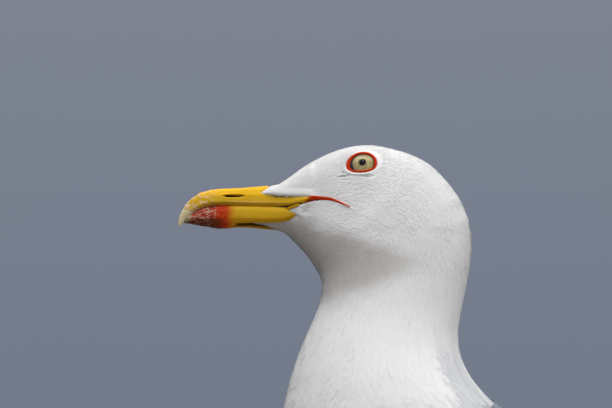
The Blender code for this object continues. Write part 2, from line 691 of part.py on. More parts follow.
def make_face(shop, head, bill_rooms, paint):
    """Seats the eyes, lids and mouth corners in the head."""
    eye = make_eye(shop, paint["eye"])
    lid = make_lid(shop, paint["lid"])
    eye_room = shop.helper("eye_room", eye.data, GAP)
    lid_room = shop.helper("lid_room", lid.data, THIN_PIECE_GAP)
    shop.cut(lid, eye_room)
    gape = make_mouth_corner(shop, head, paint["lid"])
    gape_room = shop.helper("gape_room", gape.data, THIN_PIECE_GAP)
    shop.cut(gape, *bill_rooms)
    orbit = shop.helper("orbit", orbit_cutter(shop))
    left_rooms = [orbit, eye_room, lid_room, gape_room]
    gaps = [0.0, GAP, THIN_PIECE_GAP, THIN_PIECE_GAP]
    right_rooms = []
    for room, gap in zip(left_rooms, gaps):
        right_rooms.append(shop.helper(room.name + "_R", mirrored(room.data), gap))
    for piece in (eye, lid, gape):
        shop.mirror(piece, piece.name.replace("_L", "_R"))
    shop.cut(head, *left_rooms, *right_rooms)


def make_wing(shop, trunk_room, tail_room, paint):
    """The left wing: coverts, long inner quills and primaries, lying against the trunk."""
    rings = smooth_rings([upright_ring(*row) for row in WING], 2)
    folded = loft(rings, world(*WING_FRONT), world(*WING_REAR), 14)
    point, normal = slice_plane(TERTIAL_CUT[0], TERTIAL_CUT[1])
    normal = normal if normal.y > 0 else -normal
    half_gap = GAP * MM / 2
    front, rear = folded.copy(), folded.copy()
    keep_one_side(front, point - normal * half_gap, normal)
    keep_one_side(rear, point + normal * half_gap, -normal)
    whole = bpy.data.meshes.new("folded_wing")
    folded.to_mesh(whole)
    folded.free()
    coverts = shop.add("wing_coverts_L", front, paint["grey"])
    tertials = shop.add("wing_tertials_L", rear, paint["grey"])
    shop.cut(coverts, trunk_room)
    shop.cut(tertials, trunk_room, tail_room)
    rings = smooth_rings([upright_ring(*row) for row in PRIMARIES], 2)
    blades = loft(rings, world(*PRIMARIES_FRONT), world(*PRIMARIES_REAR), 10)
    primaries = shop.add("wing_primaries_L", blades, paint["black"])
    shop.cut(primaries, shop.helper("folded_wing_room", whole, GAP), trunk_room, tail_room)
    return [coverts, tertials, primaries]


def make_tail(shop, trunk_room, plumage):
    """The closed tail. Returns the shape that the wings leave room for."""
    rings = []
    for back, up, half_width, half_thickness in TAIL:
        top, bottom = (back, up + half_thickness), (back, up - half_thickness)
        rings.append(body_ring(top, bottom, half_width, 0.5, 2.2))
    front, rear = world(TAIL_FRONT[0], 0, TAIL_FRONT[1]), world(TAIL_REAR[0], 0, TAIL_REAR[1])
    tail = shop.add("tail", loft(rings, front, rear, 20), plumage)
    tail_room = shop.helper("tail_room", tail.data, GAP)
    shop.cut(tail, trunk_room)
    return tail_room


def leg_rings(rows):
    return smooth_rings([body_ring(*row, side=STANCE_SIDE) for row in rows], 2)


def make_leg(shop, trunk_room, paint):
    """The left leg: feathered thigh, bare shank, webbed foot and its four claws."""
    def end(spot):
        return world(spot[0], STANCE_SIDE, spot[1])

    thigh = shop.add("thigh_L", loft(leg_rings(THIGH), end(THIGH_TOP), end(THIGH_BOTTOM), 16), paint["white"])
    shank = shop.add("shank_L", loft(leg_rings(SHANK), end(SHANK_TOP), end(SHANK_BOTTOM), 8), paint["leg"])
    shank_room = shop.helper("shank_room", shank.data, GAP)
    shop.cut(thigh, trunk_room, shank_room)
    foot, claws = make_foot(shop, paint)
    shop.cut(foot, shank_room)
    foot_room = shop.helper("foot_room", foot.data, GAP)
    for claw in claws:
        shop.cut(claw, foot_room)
    return [thigh, shank, foot, *claws]


def toe_direction(degrees):
    angle = math.radians(degrees + TOE_TURN)
    return Vector((math.sin(angle), -math.cos(angle), 0.0))


def toe_radius(root, along, joints):
    """Radius of a toe: it narrows to the tip and swells at its joints."""
    taper = root * (1.0 + (TOE_TIP_SHARE - 1.0) * along)
    return taper * (1.0 + TOE_KNUCKLE * math.cos(2 * math.pi * joints * along))


def make_foot(shop, paint):
    """Three front toes joined by webs, and the small hind toe, flat on the floor."""
    ankle = world(ANKLE[0], STANCE_SIDE, ANKLE[1])
    tips, tubes, claws = {}, [], []
    for name, (length, degrees, root, behind) in TOES.items():
        heading = toe_direction(degrees)
        joints = KNUCKLES[name]
        steps = 2 * joints + 1
        points, radii = [], []
        for i in range(steps):
            along = i / (steps - 1)
            radius = toe_radius(root, along, joints)
            spot = ankle + heading * ((length + behind) * along - behind) * MM
            spot.z = world(0, 0, FLOOR_UP + radius - SOLE_FLAT).z
            points.append(spot)
            radii.append(radius)
        points[0].z += behind * MM
        tips[name] = points[-1] - heading * WEB_BACK * MM
        tubes.append(shop.tube("toe_" + name, points, radii, paint["leg"]))
        claws.append(make_claw(shop, name, points[-1], heading, CLAW_LENGTH, CLAW_RADIUS, paint["claw"]))
    hind = [world(back, STANCE_SIDE - HIND_TOE_INWARDS, up) for back, up in HIND_TOE]
    hind_radii = [HIND_TOE_RADIUS, HIND_TOE_RADIUS, HIND_TOE_RADIUS * HIND_TOE_TAPER]
    tubes.append(shop.tube("toe_hind", hind, hind_radii, paint["leg"]))
    heading = (hind[-1] - hind[-2]).normalized()
    length, radius = CLAW_LENGTH * HIND_CLAW_LENGTH, CLAW_RADIUS * HIND_CLAW_RADIUS
    claws.append(make_claw(shop, "hind", hind[-1], heading, length, radius, paint["claw"]))
    tubes.append(make_knob(shop, ankle, paint["leg"]))
    foot = make_web(shop, ankle, tips, paint["leg"])
    shop.cut(foot, *tubes, operation="UNION")
    for tube in tubes:
        bpy.data.objects.remove(tube)
    bm = bmesh.new()
    bm.from_mesh(foot.data)
    keep_one_side(bm, Vector((0, 0, 0)), Vector((0, 0, -1)))
    bm.to_mesh(foot.data)
    bm.free()
    return foot, claws


def make_knob(shop, ankle, material):
    """The rounded joint that the toes grow from."""
    bm = bmesh.new()
    bmesh.ops.create_uvsphere(bm, u_segments=KNOB_AROUND, v_segments=KNOB_BANDS, radius=ANKLE_RADIUS * MM)
    bmesh.ops.translate(bm, vec=ankle, verts=bm.verts)
    return shop.add("ankle_knob", bm, material)


def make_claw(shop, name, root, heading, length, radius, material):
    """A short claw that curves down to the floor from the end of a toe."""
    floor = CLAW_FLOOR_GAP * MM
    points, radii = [], []
    for along in np.linspace(0.0, 1.0, CLAW_STEPS):
        spot = root + heading * (length * MM * (along - CLAW_ROOT))
        drop = (root.z - radius * CLAW_DROOP * MM - floor) * along ** 2
        radii.append(radius * (1.0 - CLAW_TAPER * along ** CLAW_TAPER_POWER))
        spot.z = max(root.z - drop, floor + radii[-1] * MM)
        points.append(spot)
    return shop.tube(f"claw_{name}_L", points, radii, material)


def make_web(shop, ankle, tips, material):
    """The web: a thin plate from the ankle to the toe tips, with a scalloped free edge."""
    inner, middle, outer = tips["inner"], tips["middle"], tips["outer"]
    corners = [inner]
    for start, finish in ((inner, middle), (middle, outer)):
        for along in np.linspace(0.0, 1.0, WEB_STEPS)[1:]:
            edge = start.lerp(finish, along)
            pull = WEB_SCALLOP * math.sin(math.pi * along)
            corners.append(edge.lerp(ankle, pull))
    corners.append(ankle + direction(*WEB_HEEL, 0))
    bm = bmesh.new()
    verts = [bm.verts.new((spot.x, spot.y, -WEB_BELOW * MM)) for spot in corners]
    face = bm.faces.new(verts)
    grown = bmesh.ops.extrude_face_region(bm, geom=[face])
    raised = [item for item in grown["geom"] if isinstance(item, bmesh.types.BMVert)]
    bmesh.ops.translate(bm, vec=(0, 0, (WEB_THICKNESS + WEB_BELOW) * MM), verts=raised)
    face_outwards(bm)
    return shop.add("foot_L", bm, material)


def main():
    clear_scene()
    shop = Workshop()
    paint = {
        "white": new_material("white_plumage", (0.80, 0.80, 0.81), 0.75),
        "grey": new_material("grey_plumage", (0.25, 0.28, 0.33), 0.75),
        "black": new_material("black_quills", (0.02, 0.02, 0.022), 0.6),
        "horn": new_material("yellow_horn", (0.76, 0.44, 0.03), 0.4),
        "leg": new_material("yellow_leg_skin", (0.72, 0.46, 0.05), 0.5),
        "lid": new_material("red_skin", (0.55, 0.06, 0.01), 0.45),
        "eye": new_material("pale_eye", (0.52, 0.47, 0.25), 0.1),
        "claw": new_material("dark_claw", (0.03, 0.027, 0.025), 0.4),
    }
    head, _, trunk = make_flesh(shop, paint["white"])
    lower_bill, bill_rooms = make_bill(shop, paint["horn"])
    shop.cut(head, *bill_rooms)
    make_chin(shop, head, lower_bill)
    make_face(shop, head, bill_rooms, paint)
    trunk_room = shop.helper("trunk_room", trunk.data, TRUNK_GAP)
    tail_room = make_tail(shop, trunk_room, paint["white"])
    wing = make_wing(shop, trunk_room, tail_room, paint)
    leg = make_leg(shop, trunk_room, paint)
    for piece in wing + leg:
        shop.mirror(piece, piece.name.replace("_L", "_R"))


main()
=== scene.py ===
"""Looks of a life-size yellow-legged gull: one skin, a coat of small vanes, quills, horn, eyes and feet.

Sizes in the tables are millimetres from the point midway between the eyes: back runs from the bill to
the tail, side is the gull's left and up is up. The solids they cover are in metres, standing on the floor.
"""

from __future__ import annotations

import logging
import math
from dataclasses import dataclass, field, replace
from enum import Enum
from typing import Callable, Sequence

import bmesh
import bpy
import numpy as np
from mathutils import Matrix, Vector
from mathutils.bvhtree import BVHTree


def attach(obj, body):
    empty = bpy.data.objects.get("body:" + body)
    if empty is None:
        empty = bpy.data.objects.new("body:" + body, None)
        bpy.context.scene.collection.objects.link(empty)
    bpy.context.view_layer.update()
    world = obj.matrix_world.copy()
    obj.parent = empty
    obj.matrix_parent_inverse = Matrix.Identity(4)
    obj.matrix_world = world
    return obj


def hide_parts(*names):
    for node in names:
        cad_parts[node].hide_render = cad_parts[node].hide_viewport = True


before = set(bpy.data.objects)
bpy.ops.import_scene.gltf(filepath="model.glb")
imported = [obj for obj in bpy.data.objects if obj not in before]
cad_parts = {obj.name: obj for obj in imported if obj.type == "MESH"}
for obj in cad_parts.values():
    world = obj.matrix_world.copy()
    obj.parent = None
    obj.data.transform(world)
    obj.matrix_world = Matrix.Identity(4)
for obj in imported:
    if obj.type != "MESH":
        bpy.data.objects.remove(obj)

log = logging.getLogger("gull")

MM = 0.001
EYE_HEIGHT = 388.0
MIDDLE_BACK = 179.2
SEED = 7
FAR = 99.0                      # millimetres that stand for out of reach

Array = np.ndarray
BMesh = bmesh.types.BMesh
Mesh = bpy.types.Mesh
Material = bpy.types.Material
Socket = bpy.types.NodeSocket
Colour = tuple[float, float, float]
Row = tuple[float, float]
Row3 = tuple[float, float, float]
Line = tuple[Array, Array]    # points and the ways that their surface faces


def at(back: float, side: float, up: float) -> Vector:
    """A point given in the gull's millimetres, in metres over the floor."""
    return Vector((side, back - MIDDLE_BACK, up + EYE_HEIGHT)) * MM


def in_mm(points: Array) -> tuple[Array, Array, Array]:
    """Back, side and up of points in metres, in the gull's millimetres."""
    return points[:, 1] / MM + MIDDLE_BACK, points[:, 0] / MM, points[:, 2] / MM - EYE_HEIGHT


def smoothstep(low: float, high: float, value: Array) -> Array:
    """A soft step from 0 at low to 1 at high."""
    share = np.clip((value - low) / (high - low), 0.0, 1.0)
    return share * share * (3.0 - 2.0 * share)


def unit(vectors: Array) -> Array:
    """The vectors made one long, along the last axis."""
    return vectors / np.maximum(np.linalg.norm(vectors, axis=-1, keepdims=True), 1e-12)


def ripple(points: Array, size: float, seed: int) -> Array:
    """A smooth field from about -1 to 1 that changes over about the given size in metres.

    Args:
        points: places in metres.
        size: how far the field takes to change.
        seed: number that picks the field.

    Returns:
        A number for each place.
    """
    rng = np.random.default_rng(seed)
    total = np.zeros(len(points))
    for _ in range(6):
        wave = rng.normal(size=3) / size * 1.6
        total += np.sin(points @ wave + rng.uniform(0.0, 2 * math.pi))
    return total / 3.0


# ---- shader tools

class Value:
    """One number of a material, so that masks are written as sums."""

    def __init__(self, paint: "Paint", socket: Socket) -> None:
        """Keeps the material and the socket that gives the number."""
        self.paint = paint
        self.socket = socket

    def _join(self, operation: str, first: object, second: object) -> "Value":
        """A Math node on two numbers or sockets."""
        node = self.paint.node("ShaderNodeMath", {"operation": operation}, {0: first, 1: second})
        return Value(self.paint, node.outputs[0])

    def __add__(self, other: object) -> "Value":
        """self + other."""
        return self._join("ADD", self, other)

    __radd__ = __add__

    def __sub__(self, other: object) -> "Value":
        """self - other."""
        return self._join("SUBTRACT", self, other)

    def __rsub__(self, other: object) -> "Value":
        """other - self."""
        return self._join("SUBTRACT", other, self)

    def __mul__(self, other: object) -> "Value":
        """self * other."""
        return self._join("MULTIPLY", self, other)

    __rmul__ = __mul__

    def __truediv__(self, other: object) -> "Value":
        """self / other."""
        return self._join("DIVIDE", self, other)

    def __pow__(self, other: object) -> "Value":
        """self to a power."""
        return self._join("POWER", self, other)

    def __abs__(self) -> "Value":
        """The size of self."""
        return self._join("ABSOLUTE", self, 0.0)

    def step(self, low: float, high: float) -> "Value":
        """A soft step from 0 at low to 1 at high.

        Args:
            low: where the step starts.
            high: where it ends.

        Returns:
            The stepped number.
        """
        node = self.paint.node("ShaderNodeMapRange", {"interpolation_type": "SMOOTHSTEP", "clamp": True},
                               {"Value": self, "From Min": low, "From Max": high})
        return Value(self.paint, node.outputs[0])


class Paint:
    """A material under way: adds nodes and wires them to one Principled shader."""

    def __init__(self, name: str) -> None:
        """Starts a material with its Principled shader.

        Args:
            name: the material's name.
        """
        self.material = bpy.data.materials.new(name)
        self.material.use_nodes = True
        self.tree = self.material.node_tree
        self.shader = self.tree.nodes["Principled BSDF"]

    def node(self, kind: str, settings: dict[str, object], inputs: dict[object, object]) -> bpy.types.Node:
        """Adds a node.

        Args:
            kind: the node's type.
            settings: its own properties, which are set first.
            inputs: socket name or number to a number, a colour, a Value or a socket.

        Returns:
            The node.
        """
        node = self.tree.nodes.new(kind)
        for key, value in settings.items():
            setattr(node, key, value)
        for key, value in inputs.items():
            self.feed(node.inputs[key], value)
        return node

    def feed(self, socket: Socket, value: object) -> None:
        """Wires or sets one input socket.

        Args:
            socket: the input.
            value: a number, a colour, a Value or a socket.
        """
        if isinstance(value, Value):
            value = value.socket
        if isinstance(value, Socket):
            self.tree.links.new(value, socket)
        elif isinstance(value, (tuple, list)) and socket.type == "RGBA":
            socket.default_value = (*value[:3], 1.0)
        else:
            socket.default_value = value

    def place(self) -> Socket:
        """Where a point is in the object, in metres."""
        return self.node("ShaderNodeTexCoord", {}, {}).outputs["Object"]

    def axes(self, vector: Socket) -> tuple[Value, Value, Value]:
        """The three parts of a vector."""
        parts = self.node("ShaderNodeSeparateXYZ", {}, {0: vector}).outputs
        return Value(self, parts[0]), Value(self, parts[1]), Value(self, parts[2])

    def bird_axes(self) -> tuple[Value, Value, Value]:
        """Back, side and up of a point, in the gull's millimetres."""
        x, y, z = self.axes(self.place())
        return y * (1 / MM) + MIDDLE_BACK, x * (1 / MM), z * (1 / MM) - EYE_HEIGHT

    def chart(self, name: str) -> Socket:
        """A UV map of the piece."""
        return self.node("ShaderNodeUVMap", {"uv_map": name}, {}).outputs[0]

    def told(self, name: str) -> Value:
        """A number that the piece's points carry."""
        node = self.node("ShaderNodeAttribute", {"attribute_name": name}, {})
        return Value(self, node.outputs["Fac"])

    def stretched(self, vector: Socket, stretch: Sequence[float]) -> Socket:
        """A vector scaled along its axes, so that a pattern is drawn out where the scale is small."""
        return self.node("ShaderNodeMapping", {}, {"Vector": vector, "Scale": tuple(stretch)}).outputs[0]

    def noise(self, vector: Socket, scale: float, detail: float = 2.0,
              stretch: Sequence[float] = (1.0, 1.0, 1.0)) -> Value:
        """Noise from 0 to 1 on a vector."""
        inputs = {"Vector": self.stretched(vector, stretch), "Scale": scale, "Detail": detail}
        return Value(self, self.node("ShaderNodeTexNoise", {}, inputs).outputs[0])

    def cells(self, vector: Socket, scale: float,
              stretch: Sequence[float] = (1.0, 1.0, 1.0)) -> Value:
        """Distance to the edge of scattered cells.

        Args:
            vector: where the pattern is read.
            scale: how fine the cells are.
            stretch: the scale along each axis.

        Returns:
            The distance, which is 0 at an edge.
        """
        inputs = {"Vector": self.stretched(vector, stretch), "Scale": scale}
        node = self.node("ShaderNodeTexVoronoi", {"feature": "DISTANCE_TO_EDGE"}, inputs)
        return Value(self, node.outputs[0])

    def mix(self, share: object, first: object, second: object, blend: str = "MIX") -> Socket:
        """A colour between two, or from two by another blend."""
        inputs = {0: share, 6: first, 7: second}
        return self.node("ShaderNodeMix", {"data_type": "RGBA", "blend_type": blend}, inputs).outputs[2]

    def dim(self, colour: object, amount: Value) -> Socket:
        """A colour scaled by a number."""
        grey = self.node("ShaderNodeCombineColor", {}, {0: amount, 1: amount, 2: amount})
        return self.mix(1.0, colour, grey.outputs[0], "MULTIPLY")

    def bump(self, height: Value, distance: float, strength: float = 1.0) -> Socket:
        """A normal from a height in units of distance."""
        node = self.node("ShaderNodeBump", {}, {"Height": height, "Distance": distance, "Strength": strength})
        return node.outputs[0]

    def finish(self, **inputs: object) -> Material:
        """Wires the shader's inputs, named with underscores, and gives the material.

        Args:
            inputs: what each input gets.

        Returns:
            The material.
        """
        for key, value in inputs.items():
            self.feed(self.shader.inputs[key.replace("_", " ")], value)
        return self.material


# ---- finishes

@dataclass(frozen=True)
class PlumageFinish:
    """White, grey and black feather, with the markings and painted shade that the pieces' points carry."""

    white: Colour = (0.83, 0.822, 0.805)
    # warm grey of the painted shade under the cheek and jaw
    shade: Colour = (0.66, 0.64, 0.61)
    throat_shade_colour: Colour = (0.505, 0.480, 0.450)
    grey: Colour = (0.235, 0.262, 0.315)
    black: Colour = (0.017, 0.017, 0.019)
    roughness: float = 0.72

    @staticmethod
    def throat_shade(paint: Paint) -> Value:
        """Painted shade under the cheek bulge and the jaw: warm grey over chin and throat.

        Args:
            paint: the material under way.

        Returns:
            1 where the painted shade is full and 0 elsewhere.
        """
        back, side, up = paint.bird_axes()
        cloud = (paint.noise(paint.place(), 110.0, 3.0, (1.0, 0.5, 1.0)) - 0.5) * 9.0
        seen = abs(side) * 0.292 + up * 0.956 + cloud
        high = 1.0 - (seen + back * 0.30 + 31.5).step(-7.0, 3.0)
        low = (seen - back * 0.40 + 57.0).step(-6.0, 7.0)
        rear = 1.0 - (back + cloud).step(0.0, 44.0) * 0.85
        return high * low * rear * 0.92

    def material(self) -> Material:
        """The plumage of the skin, the coat and the quills.

        Returns:
            The material.
        """
        paint = Paint("plumage")
        across, along, _ = paint.axes(paint.chart("Vane"))
        place = paint.place()
        white = paint.mix(paint.noise(place, 60.0).step(0.42, 0.8) * 0.10, self.white, self.shade)
        grey = paint.dim(self.grey, paint.noise(place, 90.0) * 0.25 + 0.88)
        middle = abs(across * 2.0 - 1.0)
        edge = paint.told("edge")
        tip = (along + middle * middle * edge * 0.35 - 1.0 + edge).step(-0.012, 0.012)
        tip = tip * edge.step(0.001, 0.01)
        # painted shade under the cheek and jaw, over chin and throat
        throat_shade_colour = paint.dim(self.throat_shade_colour, paint.noise(place, 180.0, 3.0) * 0.2 + 0.9)
        white = paint.mix(self.throat_shade(paint), white, throat_shade_colour)
        colour = paint.mix(paint.told("mantle"), white, grey)
        # black of the wing tips, and painted shade in the creases and hollow by the eye and in the mouth's
        # gap
        colour = paint.mix(paint.told("black_and_shade"), colour, self.black)
        colour = paint.mix(tip, colour, white)
        barbs = paint.noise(paint.chart("Vane"), 46.0, 2.0, (1.0, 0.22, 1.0))
        shaft = 1.0 - (middle.step(0.0, 0.07))
        big = paint.told("quill")
        contrast = paint.told("contrast")
        # each vane darker towards its root: painted shade where the vanes overlap, and the grey bases of the
        # feathers; tone varies it from vane to vane
        depth = (along.step(0.0, 0.75) * 0.30 - 0.28 + paint.told("tone") * 0.13) * contrast + 1.0
        depth = depth - shaft * big * 0.10 + (barbs - 0.5) * (big * 0.16 + 0.03)
        return paint.finish(Base_Color=paint.dim(colour, depth), Roughness=self.roughness,
                            Specular_IOR_Level=0.25, Normal=paint.bump(barbs * big, 0.0002, 0.5))


@dataclass(frozen=True)
class HornFinish:
    """Yellow horn of the bill, with its red spot, pale worn tip, long scratches and painted shade in its
    grooves, nostrils and seams.
    """

    top: Colour = (0.86, 0.47, 0.003)
    side: Colour = (0.68, 0.40, 0.012)
    low: Colour = (0.58, 0.29, 0.004)
    band: Colour = (0.30, 0.20, 0.055)
    tip: Colour = (0.76, 0.69, 0.42)
    spot: Colour = (0.52, 0.034, 0.001)
    worn: Colour = (0.36, 0.050, 0.030)
    scar: Colour = (0.80, 0.60, 0.47)
    dark: Colour = (0.045, 0.016, 0.004)

    def material(self) -> Material:
        """The horn of both halves of the bill.

        Returns:
            The material.
        """
        paint = Paint("bill_horn")
        place = paint.place()
        back, side, up = paint.bird_axes()
        front = 0.0 - back
        seen = abs(side) * 0.292 + up * 0.956
        streaks = paint.noise(place, 260.0, 3.0, (1.0, 0.16, 1.0))
        blotch = paint.noise(place, 420.0, 3.0)
        fine = paint.noise(place, 1500.0, 3.0, (1.0, 0.3, 1.0))
        wander = (blotch - 0.5) * 5.0
        lower = paint.told("lower")
        gap = paint.told("mouth")
        colour = paint.mix((seen + streaks * 2.5).step(-11.6, -8.2), self.side, self.top)
        colour = paint.mix((0.0 - seen - streaks * 2.0).step(18.5, 22.5) * lower, colour, self.low)
        colour = paint.mix(streaks.step(0.52, 0.72) * 0.35, colour, self.low)
        upper = 1.0 - lower
        band = upper * (1.0 - (gap + wander * 0.15).step(1.0, 3.4)) * front.step(48.0, 72.0)
        colour = paint.mix(band * 0.22, colour, self.band)
        # painted shade along the groove over the cutting edge
        line = upper * (1.0 - abs(gap - 1.9 + (streaks - 0.5) * 0.5).step(0.03, 0.30))
        line = line * front.step(30.0, 44.0)
        colour = paint.mix(line * 0.20, colour, self.dark)
        second = upper * (1.0 - abs(gap - 3.3 + (streaks - 0.5) * 1.4).step(0.05, 0.35))
        second = second * streaks.step(0.4, 0.6)
        colour = paint.mix(second * 0.45 * front.step(34.0, 50.0), colour, self.scar)
        pale = (front + wander - seen * 1.3).step(106.0, 114.0)
        colour = paint.mix(pale * 0.85, colour, self.tip)
        mottle = paint.noise(place, 760.0, 2.0, (1.0, 0.6, 1.0)).step(0.50, 0.60)
        colour = paint.mix(mottle * upper * (front + wander).step(70.0, 82.0) * 0.70, colour, self.scar)
        flow = front + wander * 0.7
        spot = flow.step(62.0, 68.5) * (1.0 - (flow + seen * 0.25).step(78.8, 81.2)) * lower
        colour = paint.mix(spot, colour, self.spot)
        wear = spot * (flow + wander * 0.6).step(72.0, 74.5)
        colour = paint.mix(wear * 0.85, colour, self.worn)
        ragged = paint.noise(place, 520.0, 4.0, (1.0, 0.45, 1.0))
        scratch = 1.0 - abs(ragged - 0.5).step(0.008, 0.035)
        colour = paint.mix(scratch * (wear * 0.70 + spot * 0.05 + 0.03), colour, self.scar)
        keel = (0.0 - seen).step(21.0, 23.6) * flow.step(66.0, 72.0) * lower
        colour = paint.mix(keel * 0.75, colour, self.dark)
        colour = paint.mix(fine.step(0.55, 0.8) * 0.12, colour, self.low)
        # painted shade in the nostrils, along the mouth's seam and on the lower bill's inner sides
        colour = paint.mix(paint.told("hollow"), colour, self.dark)
        rough = streaks * 0.2 + 0.42 + pale * 0.1
        relief = streaks * 0.5 + fine * 0.3 + scratch * wear * 0.5
        return paint.finish(Base_Color=colour, Roughness=rough, Specular_IOR_Level=0.09,
                            Normal=paint.bump(relief, 0.00025, 0.6))


@dataclass(frozen=True)
class EyeFinish:
    """Pale iris with flecks, round pupil and a wet surface."""

    iris: Colour = (0.56, 0.47, 0.215)
    fleck: Colour = (0.16, 0.11, 0.045)
    rim: Colour = (0.030, 0.022, 0.014)
    corner: Colour = (0.045, 0.045, 0.055)
    pupil_radius: float = 1.78
    iris_radius: float = 5.25

    def material(self) -> Material:
        """The eyeball, painted by distance from the line it looks along.

        Returns:
            The material.
        """
        paint = Paint("eye")
        across, high, _ = paint.axes(paint.chart("Disc"))
        across, high = (across - 0.5) * 24.0 - 0.40, (high - 0.5) * 24.0 + 0.75
        radius = (across * across + high * high) ** 0.5
        speck = paint.noise(paint.chart("Disc"), 26.0, 4.0)
        iris = paint.mix(speck.step(0.50, 0.64) * 0.85, self.iris, self.fleck)
        # painted shadow of the rim over the top of the iris
        iris = paint.mix(high.step(2.6, 4.9) * 0.75, iris, self.rim)
        ring = radius.step(3.9, 5.0) * 0.35 + (1.0 - radius.step(1.9, 2.4)) * 0.35
        iris = paint.mix(ring, iris, self.fleck)
        colour = paint.mix(radius.step(self.iris_radius - 0.25, self.iris_radius + 0.2), iris, self.rim)
        colour = paint.mix(1.0 - radius.step(self.pupil_radius - 0.15, self.pupil_radius + 0.12), colour,
                           (0.0015, 0.0015, 0.002))
        corner = (0.0 - across - high * 0.25).step(4.7, 5.6)
        colour = paint.mix(corner * 0.8, colour, self.corner)
        return paint.finish(Base_Color=colour, Roughness=0.5, Specular_IOR_Level=0.02, Coat_Weight=0.8,
                            Coat_Roughness=0.02, Coat_IOR=1.36)


@dataclass(frozen=True)
class BareSkinFinish:
    """Bare, slightly wet skin with fine folds."""

    name: str
    base: Colour
    deep: Colour
    pale: Colour
    roughness: float
    grain: float
    slit: bool = False
    horn: Colour = (0.70, 0.34, 0.004)

    def material(self) -> Material:
        """The bare skin.

        Returns:
            The material.
        """
        paint = Paint(self.name)
        place = paint.place()
        fold = paint.noise(place, self.grain, 3.0)
        cell = paint.cells(place, self.grain * 1.6)
        colour = paint.mix(fold.step(0.30, 0.5) * 0.5 + 0.5, self.deep, self.base)
        colour = paint.mix((fold * 0.5 + cell).step(0.45, 0.9) * 0.25, colour, self.pale)
        if self.slit:
            back, _, _ = paint.bird_axes()
            colour = paint.mix((0.0 - back + fold * 2.0).step(25.8, 30.5), colour, self.horn)
            # painted shade in the slit where the lips meet
            colour = paint.mix(paint.told("slit").step(0.15, 0.75), colour, (0.03, 0.004, 0.003))
        return paint.finish(Base_Color=colour, Roughness=self.roughness, Specular_IOR_Level=0.06,
                            Normal=paint.bump(fold + cell.step(0.0, 0.15), 0.00010, 0.5))

    def mouth(self) -> Material:
        """The same skin with painted shade in the slit of the mouth's corner."""
        return replace(self, name=self.name + "_mouth", slit=True).material()


@dataclass(frozen=True)
class LegFinish:
    """Yellow leg skin: plates along the front and small scales elsewhere."""

    base: Colour = (0.66, 0.40, 0.030)
    groove: Colour = (0.26, 0.13, 0.018)
    web: Colour = (0.62, 0.40, 0.06)
    dust: Colour = (0.44, 0.40, 0.30)

    def material(self) -> Material:
        """The skin of shanks, feet and webs.

        Returns:
            The material.
        """
        paint = Paint("leg_skin")
        place = paint.place()
        scales = paint.cells(place, 620.0, (1.0, 1.0, 0.8))
        plates = paint.cells(place, 210.0, (0.25, 0.25, 1.6))
        front = paint.told("plates")
        edge = (1.0 - scales.step(0.0, 0.12)) * (1.0 - front) + (1.0 - plates.step(0.0, 0.10)) * front
        blotch = paint.noise(place, 130.0, 3.0)
        colour = paint.mix(blotch.step(0.35, 0.7) * 0.5, self.base, self.web)
        colour = paint.mix(edge * 0.6, colour, self.groove)
        _, _, up = paint.bird_axes()
        colour = paint.mix((0.0 - up + blotch * 14.0).step(384.0, 398.0) * 0.35, colour, self.dust)
        return paint.finish(Base_Color=colour, Roughness=blotch * 0.2 + 0.42,
                            Normal=paint.bump(1.0 - edge, 0.0003, 0.7))


@dataclass(frozen=True)
class ClawFinish:
    """Dark, worn horn of the claws."""

    base: Colour = (0.022, 0.018, 0.015)
    worn: Colour = (0.14, 0.11, 0.085)

    def material(self) -> Material:
        """The claws' horn.

        Returns:
            The material.
        """
        paint = Paint("claw_horn")
        grain = paint.noise(paint.place(), 700.0, 3.0, (1.0, 0.3, 1.0))
        colour = paint.mix(grain.step(0.45, 0.8) * 0.7, self.base, self.worn)
        return paint.finish(Base_Color=colour, Roughness=grain * 0.3 + 0.3,
                            Normal=paint.bump(grain, 0.0001, 0.5))


@dataclass(frozen=True)
class FloorFinish:
    """Plain pale floor."""

    base: Colour = (0.25, 0.232, 0.208)

    def material(self) -> Material:
        """The floor's paint.

        Returns:
            The material.
        """
        paint = Paint("floor")
        grain = paint.noise(paint.place(), 8.0, 3.0)
        colour = paint.dim(self.base, grain * 0.06 + 0.97)
        return paint.finish(Base_Color=colour, Roughness=0.75)


# ---- mesh tools

def in_scene(name: str, data: bpy.types.ID) -> bpy.types.Object:
    """A new object of the scene.

    Args:
        name: its name.
        data: its mesh, lamp or camera.

    Returns:
        The object.
    """
    obj = bpy.data.objects.new(name, data)
    bpy.context.scene.collection.objects.link(obj)
    return obj


def copy_node(name: str, growth: float = 0.0) -> BMesh:
    """A merged copy of a solid, grown along its normals.

    Args:
        name: the solid's node.
        growth: how far its surface moves out, in metres.

    Returns:
        The copy.
    """
    bm = bmesh.new()
    bm.from_mesh(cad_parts[name].data)
    bmesh.ops.remove_doubles(bm, verts=bm.verts, dist=1e-6)
    bm.normal_update()
    if growth:
        moves = [(vert, vert.normal.copy()) for vert in bm.verts]
        for vert, normal in moves:
            vert.co += normal * growth
    return bm


def to_mesh(bm: BMesh, name: str) -> Mesh:
    """Turns a bmesh into a mesh.

    Args:
        bm: the shape, which is freed.
        name: the mesh's name.

    Returns:
        The mesh.
    """
    mesh = bpy.data.meshes.new(name)
    bm.to_mesh(mesh)
    bm.free()
    return mesh


def tree_of(*meshes: Mesh) -> BVHTree:
    """The surface of meshes, for nearest points and rays.

    Args:
        meshes: one or more meshes.

    Returns:
        The surface; its faces are numbered through the meshes.
    """
    verts: list[Vector] = []
    faces: list[list[int]] = []
    for mesh in meshes:
        start = len(verts)
        verts += [v.co.copy() for v in mesh.vertices]
        faces += [[i + start for i in f.vertices] for f in mesh.polygons]
    return BVHTree.FromPolygons(verts, faces)


